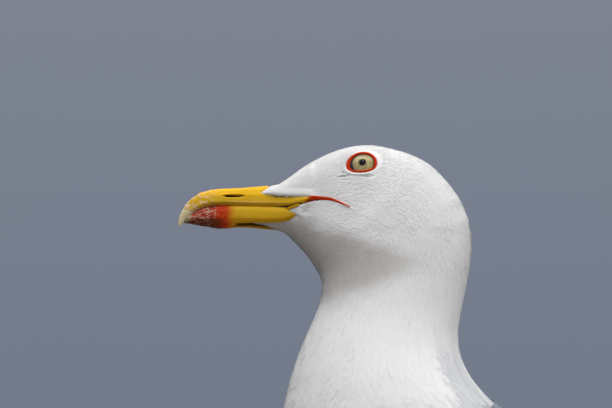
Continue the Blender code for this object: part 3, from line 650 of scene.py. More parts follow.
def join_copies(parts: Sequence[BMesh]) -> BMesh:
    """One mesh of several.

    Args:
        parts: the shapes, which are freed.

    Returns:
        The joined shape.
    """
    joined = bmesh.new()
    for part in parts:
        mesh = to_mesh(part, "part")
        joined.from_mesh(mesh)
        bpy.data.meshes.remove(mesh)
    return joined


def smooth(bm: BMesh, verts: Sequence[bmesh.types.BMVert], rounds: int) -> None:
    """Evens out some points of a shape, a number of times."""
    for _ in range(rounds):
        bmesh.ops.smooth_vert(bm, verts=verts, factor=0.5, use_axis_x=True, use_axis_y=True, use_axis_z=True)


def relax(line: Array) -> None:
    """Draws each inner point of a line half way to its neighbours."""
    line[1:-1] = (line[:-2] + line[1:-1] * 2 + line[2:]) / 4


def remeshed(bm: BMesh, voxel: float, smoothing: int) -> BMesh:
    """One even, closed surface round a mesh.

    Args:
        bm: closed bodies, which may touch or overlap, and which are freed.
        voxel: size of the new faces in metres.
        smoothing: rounds of smoothing afterwards.

    Returns:
        The new shape.
    """
    obj = in_scene("raw", to_mesh(bm, "raw"))
    modifier = obj.modifiers.new("even", "REMESH")
    modifier.mode = "VOXEL"
    modifier.voxel_size = voxel
    graph = bpy.context.evaluated_depsgraph_get()
    graph.update()
    result = bpy.data.meshes.new_from_object(obj.evaluated_get(graph))
    bpy.data.objects.remove(obj)
    new = bmesh.new()
    new.from_mesh(result)
    bpy.data.meshes.remove(result)
    smooth(new, new.verts, smoothing)
    new.normal_update()
    return new


def tube(rings: Array, closed: bool) -> BMesh:
    """A tube with a shaped section: a grid whose edges are welded together.

    Args:
        rings: points of each section, in metres, in order along the tube.
        closed: whether the last section joins the first; else both ends are capped.

    Returns:
        The tube, facing outwards.
    """
    along, across = rings.shape[:2]
    bm = bmesh.new()
    rows = along if closed else along - 1
    verts = bmesh.ops.create_grid(bm, x_segments=across, y_segments=rows, size=MM)["verts"]
    seams = {}
    for number, vert in enumerate(verts):
        row, column = divmod(number, across + 1)
        vert.co = rings[row % along, column % across]
        if row == along or column == across:
            seams[vert] = verts[(row % along) * (across + 1) + column % across]
    bmesh.ops.weld_verts(bm, targetmap=seams)
    bmesh.ops.holes_fill(bm, edges=[edge for edge in bm.edges if edge.is_boundary])
    bmesh.ops.recalc_face_normals(bm, faces=bm.faces)
    return bm


def quad_mesh(name: str, points: Array, faces: Array, charts: dict[str, Array],
              numbers: dict[str, Array]) -> Mesh:
    """A mesh of many small shapes of four-sided faces.

    Args:
        name: the mesh's name.
        points: all points, in metres.
        faces: four point numbers for each face.
        charts: UV maps, with a place for each corner of each face.
        numbers: numbers that the points carry.

    Returns:
        The mesh.
    """
    mesh = bpy.data.meshes.new(name)
    mesh.vertices.add(len(points))
    mesh.vertices.foreach_set("co", points.ravel())
    mesh.loops.add(faces.size)
    mesh.loops.foreach_set("vertex_index", faces.ravel().astype(np.int32))
    mesh.polygons.add(len(faces))
    mesh.polygons.foreach_set("loop_start", np.arange(0, faces.size, 4))
    mesh.update(calc_edges=True)
    for key, chart in charts.items():
        mesh.uv_layers.new(name=key).data.foreach_set("uv", chart.astype(np.float32).ravel())
    for key, values in numbers.items():
        set_numbers(mesh, key, values)
    return mesh


def keep_largest(bm: BMesh) -> None:
    """Drops every body of a mesh but the largest.

    Args:
        bm: the mesh.
    """
    bm.verts.index_update()
    label = np.arange(len(bm.verts))
    edges = np.array([(e.verts[0].index, e.verts[1].index) for e in bm.edges])
    while True:
        low = np.minimum(label[edges[:, 0]], label[edges[:, 1]])
        new = label.copy()
        np.minimum.at(new, edges[:, 0], low)
        np.minimum.at(new, edges[:, 1], low)
        new = new[new]
        if np.array_equal(new, label):
            break
        label = new
    names, counts = np.unique(label, return_counts=True)
    main = names[np.argmax(counts)]
    bm.verts.ensure_lookup_table()
    bmesh.ops.delete(bm, geom=[v for v in bm.verts if label[v.index] != main], context="VERTS")


def coordinates(mesh: Mesh) -> Array:
    """A mesh's points.

    Args:
        mesh: the mesh.

    Returns:
        A row of three numbers for each point.
    """
    flat = np.empty(len(mesh.vertices) * 3)
    mesh.vertices.foreach_get("co", flat)
    return flat.reshape(-1, 3)


def normals_of(mesh: Mesh) -> Array:
    """The normals at a mesh's points.

    Args:
        mesh: the mesh.

    Returns:
        A row of three numbers for each point.
    """
    flat = np.empty(len(mesh.vertices) * 3)
    mesh.vertex_normals.foreach_get("vector", flat)
    return flat.reshape(-1, 3)


def set_numbers(mesh: Mesh, name: str, values: Array) -> None:
    """Gives each point of a mesh a number under a name."""
    layer = mesh.attributes.new(name, "FLOAT", "POINT")
    layer.data.foreach_set("value", np.ascontiguousarray(values, dtype=np.float32))


def show(name: str, mesh: Mesh, material: Material,
         stands_for: Sequence[str] = ()) -> bpy.types.Object:
    """Makes a finished mesh a piece of the model.

    Args:
        name: the piece's name.
        mesh: its mesh, in place.
        material: its finish.
        stands_for: the solids it replaces.

    Returns:
        The piece.
    """
    mesh.name = name
    mesh.materials.clear()
    mesh.materials.append(material)
    mesh.shade_smooth()
    obj = in_scene(name, mesh)
    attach(obj, "root")
    if stands_for:
        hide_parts(*stands_for)
    log.info("%s: %d faces", name, len(mesh.polygons))
    return obj


# ---- the lie of the coat

class Lie:
    """Where a point is along and round the bird, and which way the coat runs there."""

    # Points on the back line and on the throat and belly line of the same section, bill to tail
    SECTIONS: Sequence[tuple[Row, Row]] = (
        ((-50.0, -10.8), (-49.4, -18.4)), ((-29.0, 3.4), (-36.8, -33.2)), ((-4.0, 13.5), (-27.7, -43.0)),
        ((18.0, 11.3), (-22.7, -50.8)), ((37.6, 1.7), (-20.6, -56.2)), ((51.6, -16.3), (-20.7, -61.5)),
        ((55.9, -39.6), (-23.6, -70.0)), ((52.0, -62.5), (-29.2, -83.3)), ((47.6, -86.0), (-35.6, -99.8)),
        ((54.8, -106.9), (-41.6, -125.0)), ((75.5, -127.4), (-45.8, -165.0)),
        ((105.0, -143.5), (-33.0, -220.0)), ((142.0, -157.0), (25.0, -265.0)),
        ((186.0, -171.0), (108.0, -278.0)), ((231.0, -188.0), (185.0, -267.0)),
        ((270.0, -208.5), (250.0, -247.0)), ((330.0, -236.0), (322.0, -268.0)),
        ((440.0, -262.0), (436.0, -280.0)))
    WING_RUN = (289.0, -33.0, -50.0)

    def __init__(self) -> None:
        """Reads the sections into arrays."""
        self.top = np.array([row[0] for row in self.SECTIONS])
        self.low = np.array([row[1] for row in self.SECTIONS])
        chord = self.low - self.top
        self.across = unit(np.stack([-chord[:, 1], chord[:, 0]], axis=1))

    def station(self, back: Array, up: Array) -> Array:
        """How far along the bird points are, in sections from the bill.

        Args:
            back: distance along the bird.
            up: height.

        Returns:
            A station for each point.
        """
        points = np.stack([back, up], axis=1)
        past = np.einsum("pij,ij->pi", points[:, None, :] - self.top[None], self.across)
        crossing = (past[:, :-1] >= 0) & (past[:, 1:] < 0)
        first = np.argmax(crossing, axis=1)
        none = ~crossing.any(axis=1)
        rows = np.arange(len(points))
        start, end = past[rows, first], past[rows, first + 1]
        found = first + start / np.maximum(start - end, 1e-9)
        last = len(self.top) - 1.001
        return np.where(none, np.where(past[:, 0] < 0, 0.0, last), np.clip(found, 0.0, last))

    @staticmethod
    def between(table: Array, station: Array) -> Array:
        """A table of sections read at stations."""
        row, share = station.astype(int), (station % 1.0)[:, None]
        return table[row] * (1 - share) + table[row + 1] * share

    def angle(self, points: Array, station: Array) -> Array:
        """How far round the bird points are, from 0 at the belly on one side to 1 on the other.

        Args:
            points: places in metres.
            station: where they are along the bird.

        Returns:
            A share of the whole turn for each point.
        """
        back, side, up = in_mm(points)
        top, low = self.between(self.top, station), self.between(self.low, station)
        middle = (top + low) / 2
        rise = unit(top - low)
        height = (back - middle[:, 0]) * rise[:, 0] + (up - middle[:, 1]) * rise[:, 1]
        return np.arctan2(side, height) / (2 * math.pi) + 0.5

    def run(self, points: Array, station: Array, wing: Array) -> Array:
        """The way the coat runs, before it is laid on the surface.

        Args:
            points: roots in metres.
            station: where they are along the bird.
            wing: 1 for points of a wing.

        Returns:
            Directions, one long.
        """
        back, side, up = in_mm(points)
        top, low = self.between(self.top, station), self.between(self.low, station)
        chord = top - low
        share = np.einsum("pi,pi->p", np.stack([back, up], axis=1) - low, chord)
        share = np.clip(share / np.einsum("pi,pi->p", chord, chord), 0.0, 1.0)[:, None]
        flow = unit(self.speed(self.low, station) * (1 - share) + self.speed(self.top, station) * share)
        body = np.stack([np.zeros(len(points)), flow[:, 0], flow[:, 1]], axis=1)
        ahead, in_side, fall = self.WING_RUN
        level = np.ones(len(side))
        wing_way = np.stack([in_side * np.sign(side), ahead * level, fall * level], axis=1)
        return unit(body * (1 - wing[:, None]) + unit(wing_way) * wing[:, None])

    def speed(self, table: Array, station: Array) -> Array:
        """The direction of a line of sections at stations."""
        behind, ahead = (np.clip(station + step, 0.0, len(table) - 1.001) for step in (-0.5, 0.5))
        return self.between(table, ahead) - self.between(table, behind)


class Part(Enum):
    """Which part of the bird a point of the skin belongs to."""

    HEAD = 0
    NECK = 1
    TRUNK = 2
    COVERTS = 3
    TERTIALS = 4
    THIGH = 5


# ---- skin

@dataclass
class Skin:
    """The one skin over all the flesh, inside the coat."""

    voxel: float = 0.0019
    growth: float = 0.0004
    joint_smoothing: int = 14
    face_depth: float = 0.5         # millimetres that the skin lies in the solids
    neck_depth: float = 1.6
    body_depth: float = 2.4
    eye_point: Row3 = (-0.4, 17.8, 0.7)
    horn_root: float = -56.0
    tail_root: float = 316.0
    flesh: dict[str, Part] = field(default_factory=lambda: {
        "head": Part.HEAD, "neck": Part.NECK, "trunk": Part.TRUNK,
        "wing_coverts_L": Part.COVERTS, "wing_coverts_R": Part.COVERTS,
        "wing_tertials_L": Part.TERTIALS, "wing_tertials_R": Part.TERTIALS,
        "thigh_L": Part.THIGH, "thigh_R": Part.THIGH})
    hollow: tuple[float, float, float, float, float] = (-11.4, -4.0, 2.7, 4.6, 0.40)
    round_eye_reach: float = 20.0
    hollow_shade: float = 0.20      # how much darker the hollow in front of the eye is
    # Boxes whose faces are divided once, and those that are divided a second time
    fine_boxes: Sequence[Sequence[tuple[Row3, Row3]]] = (
        (((-60.0, -25.0, -34.0), (16.0, 25.0, 12.0)),),
        (((-60.0, -25.0, -32.0), (-23.0, 25.0, 0.0)), ((-17.0, -25.0, -13.0), (14.0, 25.0, 9.0))))
    # Folds of the bare-looking skin round the eye: middle, half length, half width, depth, slope
    folds: Sequence[tuple[float, float, float, float, float, float]] = (
        (-10.0, -6.7, 3.4, 0.45, 0.70, 0.02), (1.9, -7.4, 3.6, 0.45, 0.58, 0.03),
        (-7.0, -8.9, 3.6, 0.40, 0.20, 0.08), (10.8, -0.8, 2.0, 0.40, 0.25, -0.25))

    def build(self, lie: Lie, bill: "Bill") -> None:
        """Makes the skin's mesh and what the coat needs to know of it.

        Args:
            lie: the lie of the coat.
            bill: the finished bill.
        """
        self.bill = bill
        parts = [copy_node(name, self.growth) for name in self.flesh]
        parts += [copy_node("eye_" + hand, -0.0001) for hand in "LR"]
        parts += [copy_node("eyelid_" + hand, -0.0001) for hand in "LR"]
        parts += [self.cut_off(copy_node(name, -0.0002), self.horn_root, -1.0) for name in
                  ("upper_bill", "lower_bill")]
        parts.append(self.cut_off(copy_node("tail", -0.0012), self.tail_root, 1.0))
        bm = remeshed(join_copies(parts), self.voxel, 3)
        keep_largest(bm)
        joints = [v for v in bm.verts if at(0.0, 0.0, -150.0).z < v.co.z < at(0.0, 0.0, -36.0).z
                  and v.co.y > at(-30.0, 0.0, 0.0).y]
        smooth(bm, joints, self.joint_smoothing)
        self.refine_face(bm)
        self.mesh = to_mesh(bm, "skin")
        self.label_points(lie)
        self.sink()

    @staticmethod
    def cut_off(bm: BMesh, back: float, sign: float) -> BMesh:
        """Keeps one side of an upright cut and closes it.

        Args:
            bm: a closed body.
            back: where it is cut.
            sign: 1 keeps what is in front of the cut and -1 what is behind it.

        Returns:
            The same body.
        """
        cut = bmesh.ops.bisect_plane(bm, geom=bm.verts[:] + bm.edges[:] + bm.faces[:], dist=1e-6,
                                     plane_co=at(back, 0.0, 0.0), plane_no=(0.0, sign, 0.0), clear_outer=True)
        rim = [item for item in cut["geom_cut"] if isinstance(item, bmesh.types.BMEdge)]
        bmesh.ops.holes_fill(bm, edges=rim)
        return bm

    def refine_face(self, bm: BMesh) -> None:
        """Gives the face finer faces, so that it can hold lids and folds.

        Args:
            bm: the skin, which is changed.
        """

        def inside(vert: bmesh.types.BMVert, box: tuple[Vector, Vector]) -> bool:
            """Whether a point is in a box."""
            return all(low < place < high for low, place, high in zip(box[0], vert.co, box[1]))

        for boxes in self.fine_boxes:
            limits = [(at(*low), at(*high)) for low, high in boxes]
            edges = [e for e in bm.edges if any(all(inside(v, box) for v in e.verts) for box in limits)]
            bmesh.ops.subdivide_edges(bm, edges=edges, cuts=1, use_grid_fill=True)
        face_box = tuple(at(*corner) for corner in self.fine_boxes[0][0])
        verts = [v for v in bm.verts if inside(v, face_box)]
        smooth(bm, verts, 4)
        bmesh.ops.triangulate(bm, faces=[f for f in bm.faces if len(f.verts) > 4])
        bm.normal_update()

    def label_points(self, lie: Lie) -> None:
        """Finds each point's part of the bird, its station and its distance from bill and eye.

        Args:
            lie: the lie of the coat.
        """
        points = coordinates(self.mesh)
        solids = [to_mesh(copy_node(name), "solid") for name in self.flesh]
        owners = np.repeat([part.value for part in self.flesh.values()], [len(m.polygons) for m in solids])
        tree = tree_of(*solids)
        self.part = owners[np.array([tree.find_nearest(Vector(p))[2] for p in points])]
        for mesh in solids:
            bpy.data.meshes.remove(mesh)
        self.points = points
        self.bill_distance = np.array([self.bill.tree.find_nearest(Vector(p))[3] for p in points]) / MM
        self.bare = self.bill.line.bare(points)
        back, side, up = in_mm(points)
        e_back, e_side, e_up = self.eye_point
        self.eye_distance = np.sqrt((back - e_back) ** 2 + (np.abs(side) - e_side) ** 2 + (up - e_up) ** 2)
        self.station = lie.station(back, up)
        above_mouth = self.bill.line.seen_height(side, up) > -19.0
        self.in_mouth = (self.bare > 0.5) & above_mouth & (self.station < 3.5) & (self.bill_distance < 4.0)

    def sink(self) -> None:
        """Moves the skin in by the coat's depth and presses in the folds by the eye."""
        normals = normals_of(self.mesh)
        back, side, up = in_mm(self.points)
        depth = np.interp(self.station, [0.0, 4.0, 6.0, 8.0, 11.0], [self.face_depth, self.face_depth * 1.6,
                          self.neck_depth * 0.8, self.neck_depth, self.body_depth])
        depth = np.where(self.part >= Part.COVERTS.value, self.body_depth * 0.8, depth)
        depth = np.where(self.part == Part.THIGH.value, 1.0, depth)
        root_depth = -0.28 + 0.96 * smoothstep(-0.4, 0.5, self.bare)
        near_bill = smoothstep(1.2, 5.0, self.bill_distance)
        depth = root_depth + (depth - root_depth) * np.where(self.station < 3.5, near_bill, 1.0)
        ring, theta = self.round_eye()
        rim = smoothstep(0.8, 4.0, ring)
        depth = 0.30 + (depth - 0.30) * rim
        depth = np.where(ring < 0.7, 1.2, depth)
        under = smoothstep(0.05, 0.45, -np.sin(theta)) * smoothstep(-1.0, -0.6, -np.cos(theta) * -1.0)
        fold = np.exp(-((ring - 1.75) / 0.42) ** 2) * (0.35 + 0.65 * under)
        crease = np.exp(-((ring - 2.75 - 0.35 * np.cos(theta)) / 0.34) ** 2)
        strong = np.exp(-((theta + 0.62) / 0.42) ** 2) + np.exp(-((theta + 1.95) / 0.38) ** 2)
        near_eye = self.eye_distance < 16.0
        depth = depth + np.where(near_eye, crease * strong * 0.45 - fold * 0.25, 0.0)
        self.ring = np.where(near_eye, ring, FAR)
        self.crease = np.zeros(len(self.points))
        for f_back, f_up, half_length, half_width, f_depth, slope in self.folds:
            along = (back - f_back) / half_length
            height = up - f_up - slope * (back - f_back) - 0.55 * along * along
            fade = np.clip(1.0 - along * along, 0.0, 1.0)
            press = np.exp(-(height / half_width) ** 2) * fade
            bulge = np.exp(-((height - 1.3 * half_width) / half_width) ** 2) * fade
            where = (self.station < 5.0) & (np.abs(side) > 6.0)
            self.crease = np.maximum(self.crease, np.where(where, press * f_depth / 0.55, 0.0))
            depth = depth + np.where(where, f_depth * (press - 0.45 * bulge), 0.0)
        h_back, h_up, h_long, h_high, h_depth = self.hollow
        dip = np.exp(-((back - h_back) / h_long) ** 2 - ((up - h_up) / h_high) ** 2) * (np.abs(side) > 6.0)
        depth = depth + dip * h_depth
        self.shade = dip * self.hollow_shade
        moved = self.points - normals * depth[:, None] * MM - normals * self.growth
        self.mesh.vertices.foreach_set("co", moved.ravel())
        self.mesh.update()
        self.points = moved

    def round_eye(self) -> tuple[Array, Array]:
        """How points lie to the line of the eye's rim.

        Returns:
            Millimetres outside the line, and the angle round it, which is 0 at its front corner.
        """
        eyes = Eyes()
        into_eye = np.array(eyes.socket().inverted())
        left = self.points.copy()
        left[:, 0] = np.abs(left[:, 0])
        flat = ((left @ into_eye[:3, :3].T + into_eye[:3, 3]) / MM)[:, 1:3]
        outline = eyes.outline(np.linspace(0.0, 2 * math.pi, 96, endpoint=False))
        middle = np.array([0.0, eyes.corners_up])
        close = self.eye_distance < self.round_eye_reach
        distance = np.full(len(flat), FAR)
        away = np.linalg.norm(flat[close][:, None, :] - outline[None], axis=2)
        nearest = outline[np.argmin(away, axis=1)]
        inside = np.linalg.norm(flat[close] - middle, axis=1) < np.linalg.norm(nearest - middle, axis=1)
        distance[close] = away.min(axis=1) * np.where(inside, -1.0, 1.0)
        return distance, np.arctan2(flat[:, 1] - eyes.corners_up, -flat[:, 0])

    def mantle(self, points: Array, part: Array) -> Array:
        """How grey the plumage is at points: 0 is white and 1 is the grey of back and wings.

        Args:
            points: places in metres.
            part: the part of the bird that each belongs to.

        Returns:
            A share of grey for each place.
        """
        back, side, up = in_mm(points)
        rim = ripple(points, 0.012, 3) * 3.0
        start = np.interp(np.abs(side), [16.0, 36.0], [52.0, 40.0])
        behind = back - (up + 112.0) * 0.30 + rim * 1.5
        front = smoothstep(0.0, 13.0, behind - start)
        veil = smoothstep(0.0, 14.0, behind - 26.0) * smoothstep(10.0, 24.0, np.abs(side)) * 0.42
        front = np.maximum(front, veil * smoothstep(-152.0, -132.0, up))
        lower = np.interp(back, [60.0, 160.0, 200.0, 240.0, 290.0], [168.0, 178.0, 205.0, 226.0, 246.0])
        flank = smoothstep(0.0, 8.0, up + lower + np.abs(side) * 0.30 + rim)
        rump = 1.0 - smoothstep(284.0, 292.0, back + rim)
        trunk = np.where(part <= Part.TRUNK.value, front * flank * rump, 0.0)
        wing = ((part == Part.COVERTS.value) | (part == Part.TERTIALS.value)) * 1.0
        bend = smoothstep(0.0, 9.0, back - 46.0 - (up + 112.0) * 0.30 + rim)
        return np.maximum(trunk, wing * bend)

    def dress(self, plumage: Material) -> None:
        """Gives the skin its markings and painted shade, and shows it.

        Args:
            plumage: the feathers' finish.
        """
        count = len(self.points)
        set_numbers(self.mesh, "mantle", self.mantle(self.points, self.part))
        _, side, up = in_mm(self.points)
        high = self.bill.line.seen_height(side, up) > -19.0
        # painted shade: dark where the skin shows in the mouth's gap, in the creases round the eye and in the
        # hollow before it
        mouth = smoothstep(0.0, 0.5, self.bare) * (self.bill_distance < 4.0) * (self.station < 3.0) * high
        set_numbers(self.mesh, "black_and_shade", np.maximum(np.maximum(mouth, self.crease * 0.36), self.shade))
        for name, value in (("edge", 0.0), ("quill", 0.0), ("tone", 0.0), ("contrast", 0.0)):
            set_numbers(self.mesh, name, np.full(count, value))
        chart = self.mesh.uv_layers.new(name="Vane")
        chart.data.foreach_set("uv", np.tile(np.array([0.5, 0.35], np.float32), len(self.mesh.loops)))
        self.tree = tree_of(self.mesh)
        show("skin", self.mesh, plumage, list(self.flesh))


# ---- vanes

@dataclass(frozen=True)
class VaneShape:
    """The outline of a small feather: shares of its length, and its half width there."""

    shares: tuple[float, ...]
    widths: tuple[float, ...]
    strips: int = 1
    arch: float = 0.0
    roll: float = 0.10      # how far the shading turns from edge to edge


@dataclass
class Vanes:
    """Many vanes as one mesh: a spine of points for each, with its side, normal and half widths."""

    shape: VaneShape
    spine: Array
    side: Array
    normal: Array
    half_width: Array
    numbers: dict[str, Array]
    patch: Array
    patch_size: Row = (0.003, 0.003)

    def mesh(self, name: str) -> Mesh:
        """Builds the mesh with its Vane and OFBake charts.

        Args:
            name: the mesh's name.

        Returns:
            The mesh.
        """
        count, stations = self.spine.shape[:2]
        strips = self.shape.strips
        reach = np.linspace(-1.0, 1.0, strips + 1)
        widths = np.array(self.shape.widths)[None, :] * self.half_width[:, None]
        offset = self.side[:, :, None, :] * (widths[:, :, None] * reach[None, None, :])[..., None]
        rise = self.normal[:, :, None, :] * (
            widths[:, :, None] * (1.0 - reach ** 2)[None, None, :] * self.shape.arch)[..., None]
        points = (self.spine[:, :, None, :] + offset + rise).reshape(-1, 3)
        per = stations * (strips + 1)
        quads = []
        for row in range(stations - 1):
            for strip in range(strips):
                a = row * (strips + 1) + strip
                quads.append((a, a + 1, a + strips + 2, a + strips + 1))
        pattern = np.array(quads)
        faces = (pattern[None] + (np.arange(count) * per)[:, None, None]).reshape(-1, 4)
        across = np.tile((reach + 1.0) / 2.0, stations)
        along = np.repeat(np.array(self.shape.shares), strips + 1)
        corner_local = np.stack([across, along], axis=1)[pattern.ravel()]
        patches = self.patch[:, None, :] + (corner_local[None] - 0.5) * np.array(self.patch_size)
        mesh = quad_mesh(name, points, faces, {"Vane": np.tile(corner_local, (count, 1)), "OFBake": patches},
                         {key: np.repeat(values, per) for key, values in self.numbers.items()})
        tilt = self.side[:, :, None, :] * (reach * self.shape.roll)[None, None, :, None]
        facing = unit(self.normal[:, :, None, :] + tilt).reshape(-1, 3)
        mesh.normals_split_custom_set_from_vertices(facing.tolist())
        return mesh


@dataclass(frozen=True)
class Plot:
    """One stretch of the coat: where it grows and how its vanes look."""

    name: str
    where: Callable[["Skin"], Array]
    spacing: float          # between roots
    shape: VaneShape
    slim: float             # width as a share of length
    lift: float             # rise of the tip as a share of length
    slot: str = "white_plumage"
    longer: float = 1.0
    contrast: float = 0.5   # how much the vanes differ from each other and from root to tip


FINE = VaneShape((0.0, 0.4, 0.78, 1.0), (0.45, 1.0, 0.72, 0.10))
SOFT = VaneShape((0.0, 0.3, 0.62, 0.86, 1.0), (0.40, 0.95, 1.0, 0.62, 0.12), 2, 0.25, 0.22)
ROUND = VaneShape((0.0, 0.25, 0.5, 0.75, 0.91, 1.0), (0.45, 0.85, 1.0, 0.92, 0.62, 0.22), 4, 0.10, 0.22)


class Coat:
    """The body's plumage: small vanes rooted in the skin, laid along the lie."""

    # Length of the vanes at each section from the bill, in millimetres
    LENGTHS = (2.0, 2.6, 3.4, 4.4, 5.4, 6.4, 7.6, 9.0, 10.5, 12.5, 15.0, 17.0, 19.0, 21.0, 24.0, 26.0, 26.0,
               26.0)
    FACE_END, CROWN_END = 2.6, 4.4      # stations
    TERTIAL_END = 262.0                 # back
    PLOTS = (
        Plot("face_coat", lambda s: (s.part == Part.HEAD.value) & (s.station < Coat.FACE_END), 0.60, FINE,
             0.26, 0.025, contrast=0.10),
        Plot("crown_coat", lambda s: (s.part == Part.HEAD.value) & (s.station >= Coat.FACE_END)
             & (s.station < Coat.CROWN_END), 0.74, FINE, 0.24, 0.022, contrast=0.10),
        Plot("nape_coat", lambda s: (s.part == Part.HEAD.value) & (s.station >= Coat.CROWN_END), 0.86, FINE,
             0.24, 0.018, contrast=0.08),
        Plot("neck_coat", lambda s: s.part == Part.NECK.value, 1.25, FINE, 0.26, 0.012, contrast=0.08),
        Plot("breast_coat", lambda s: (s.part == Part.TRUNK.value) & (s.mantle_share < 0.5), 2.7, SOFT, 0.36,
             0.035, contrast=0.25),
        Plot("back_coat", lambda s: (s.part == Part.TRUNK.value) & (s.mantle_share >= 0.5), 3.3, ROUND, 0.56,
             0.040, "grey_plumage", contrast=0.6),
        Plot("thigh_coat", lambda s: s.part == Part.THIGH.value, 1.8, FINE, 0.24, 0.08, longer=0.5,
             contrast=0.3),
        Plot("wing_coat", lambda s: s.part == Part.COVERTS.value, 3.7, ROUND, 0.60, 0.035, "grey_plumage",
             0.85, contrast=0.6),
        Plot("tertial_coat", lambda s: (s.part == Part.TERTIALS.value)
             & (in_mm(s.points)[0] < Coat.TERTIAL_END), 5.0, ROUND, 0.46, 0.025, "grey_plumage", 1.1,
             contrast=0.6))

    def __init__(self, skin: Skin, lie: Lie, corners: "MouthCorners") -> None:
        """Keeps the skin, the lie that the coat follows and the mouth corners that it leaves bare.

        Args:
            skin: the finished skin.
            lie: the way the coat runs.
            corners: the mouth corners, which it leaves bare.
        """
        self.skin = skin
        self.corners = corners
        self.lie = lie
        self.rng = np.random.default_rng(SEED)
        skin.mantle_share = skin.mantle(skin.points, skin.part)
        mesh = skin.mesh
        mesh.calc_loop_triangles()
        flat = np.empty(len(mesh.loop_triangles) * 3, np.int32)
        mesh.loop_triangles.foreach_get("vertices", flat)
        self.triangles = flat.reshape(-1, 3)
        self.normals = normals_of(mesh)
        self.clear = self.bare_trees()

    def bare_trees(self) -> list[tuple[BVHTree, float]]:
        """The pieces that no vane may grow from, and how far from them it starts.

        Returns:
            Surfaces, each with a distance in metres.
        """
        found = [(self.skin.bill.tree, 0.00012)]
        self.keep_clear = []
        for hand in "LR":
            rim = BVHTree.FromBMesh(Eyes().rim(hand))
            corner = self.corners.trees[hand]
            self.keep_clear += [rim, corner]
            found.append((rim, 0.0004))
            found.append((corner, 0.0003))
            found.append((BVHTree.FromBMesh(copy_node("eye_" + hand)), 0.0012))
        return found

    def roots(self, plot: Plot) -> tuple[Array, Array, Array]:
        """Scatters a plot's roots evenly.

        Args:
            plot: the stretch of coat.

        Returns:
            Points, normals and the nearest skin point's index.
        """
        inside = plot.where(self.skin)
        chosen = self.triangles[inside[self.triangles].sum(axis=1) >= 2]
        corners = self.skin.points[chosen]
        sides = corners[:, 1:] - corners[:, :1]
        area = np.linalg.norm(np.cross(sides[:, 0], sides[:, 1]), axis=1) / 2
        cell = plot.spacing * MM
        count = int(area.sum() / cell ** 2 * 5)
        pick = self.rng.choice(len(chosen), count, p=area / area.sum())
        shares = self.rng.dirichlet((1.0, 1.0, 1.0), count)
        points = np.einsum("pi,pij->pj", shares, corners[pick])
        normals = unit(np.einsum("pi,pij->pj", shares, self.normals[chosen[pick]]))
        keys = np.floor(points / cell).astype(np.int64)
        keys = (keys[:, 0] * 73856093) ^ (keys[:, 1] * 19349663) ^ (keys[:, 2] * 83492791)
        _, first = np.unique(keys, return_index=True)
        first.sort()
        points, normals, index = points[first], normals[first], chosen[pick[first], 0]
        keep = (self.skin.crease[index] < 0.30) & ~self.skin.in_mouth[index]
        if plot.name in ("face_coat", "crown_coat"):
            for tree, margin in self.clear:
                for i, point in enumerate(points):
                    if keep[i]:
                        spot, normal, _, distance = tree.find_nearest(Vector(point))
                        if distance < margin or (Vector(point) - spot).dot(normal) < 0:
                            keep[i] = False
        return points[keep], normals[keep], index[keep]

    def room(self, points: Array, run: Array, length: Array) -> Array:
        """Shortens vanes that would run over the eye's rim or the mouth's corner.

        Args:
            points: their roots.
            run: the way they run.
            length: their lengths.

        Returns:
            The lengths that fit.
        """
        fitted = length.copy()
        for tree in self.keep_clear:
            for i, point in enumerate(points):
                spot, _, _, distance = tree.find_nearest(Vector(point), 0.006)
                if spot is None:
                    continue
                toward = (spot - Vector(point)).dot(Vector(run[i])) / max(distance, 1e-9)
                if toward > 0.25:
                    fitted[i] = min(fitted[i], max(distance * 0.85, 0.0005))
        return fitted

    def grow(self, plot: Plot) -> Vanes:
        """Lays a plot's vanes on the skin.

        Args:
            plot: the stretch of coat.

        Returns:
            The vanes.
        """
        points, normals, index = self.roots(plot)
        back, _, up = in_mm(points)
        station = self.lie.station(back, up)
        part = self.skin.part[index]
        wing = (part >= Part.COVERTS.value) & (part != Part.THIGH.value)
        run = self.lie.run(points, station, wing * 1.0)
        if plot.name == "thigh_coat":
            run = unit(run + np.array([0.0, 0.0, -1.6]))
        spread = unit(np.cross(normals, run))
        turn = self.rng.normal(0.0, 0.10, len(points)) + ripple(points, 0.006, 11) * 0.10
        run = unit(run + spread * turn[:, None])
        run = unit(run - normals * np.einsum("pi,pi->p", run, normals)[:, None])
        length = np.interp(station, range(len(self.LENGTHS)), self.LENGTHS) * plot.longer * MM
        length *= self.rng.uniform(0.82, 1.15, len(points))
        eye = self.skin.eye_distance[index]
        length *= 0.55 + 0.45 * smoothstep(7.0, 16.0, eye)
        if plot.name in ("face_coat", "crown_coat"):
            length = self.room(points, run, length)
        lift = plot.lift * length * self.rng.uniform(0.6, 1.5, len(points))
        lift *= 1.0 + 0.5 * ripple(points, 0.009, 23)
        shares = np.array(plot.shape.shares)
        spine = np.empty((len(points), len(shares), 3))
        spine_normal = np.empty_like(spine)
        sink = 0.25 * MM
        spine[:, 0], spine_normal[:, 0] = points - normals * sink, normals
        last = len(shares) - 1
        stops = [last] if len(shares) <= 4 else [last // 2, last]
        for stop in stops:
            reach = points + run * (length * shares[stop])[:, None]
            for i, target in enumerate(reach):
                spot, normal, _, _ = self.skin.tree.find_nearest(Vector(target))
                spine[i, stop] = spot
                spine_normal[i, stop] = normal
            height = lift * shares[stop] ** 1.5 + 0.12 * MM
            spine[:, stop] += spine_normal[:, stop] * height[:, None]
        known = [0, *stops]
        for row in range(1, last + 1):
            if row in known:
                continue
            before = max(k for k in known if k < row)
            after = min(k for k in known if k > row)
            share = (shares[row] - shares[before]) / (shares[after] - shares[before])
            spine[:, row] = spine[:, before] * (1 - share) + spine[:, after] * share
            between = spine_normal[:, before] * (1 - share) + spine_normal[:, after] * share
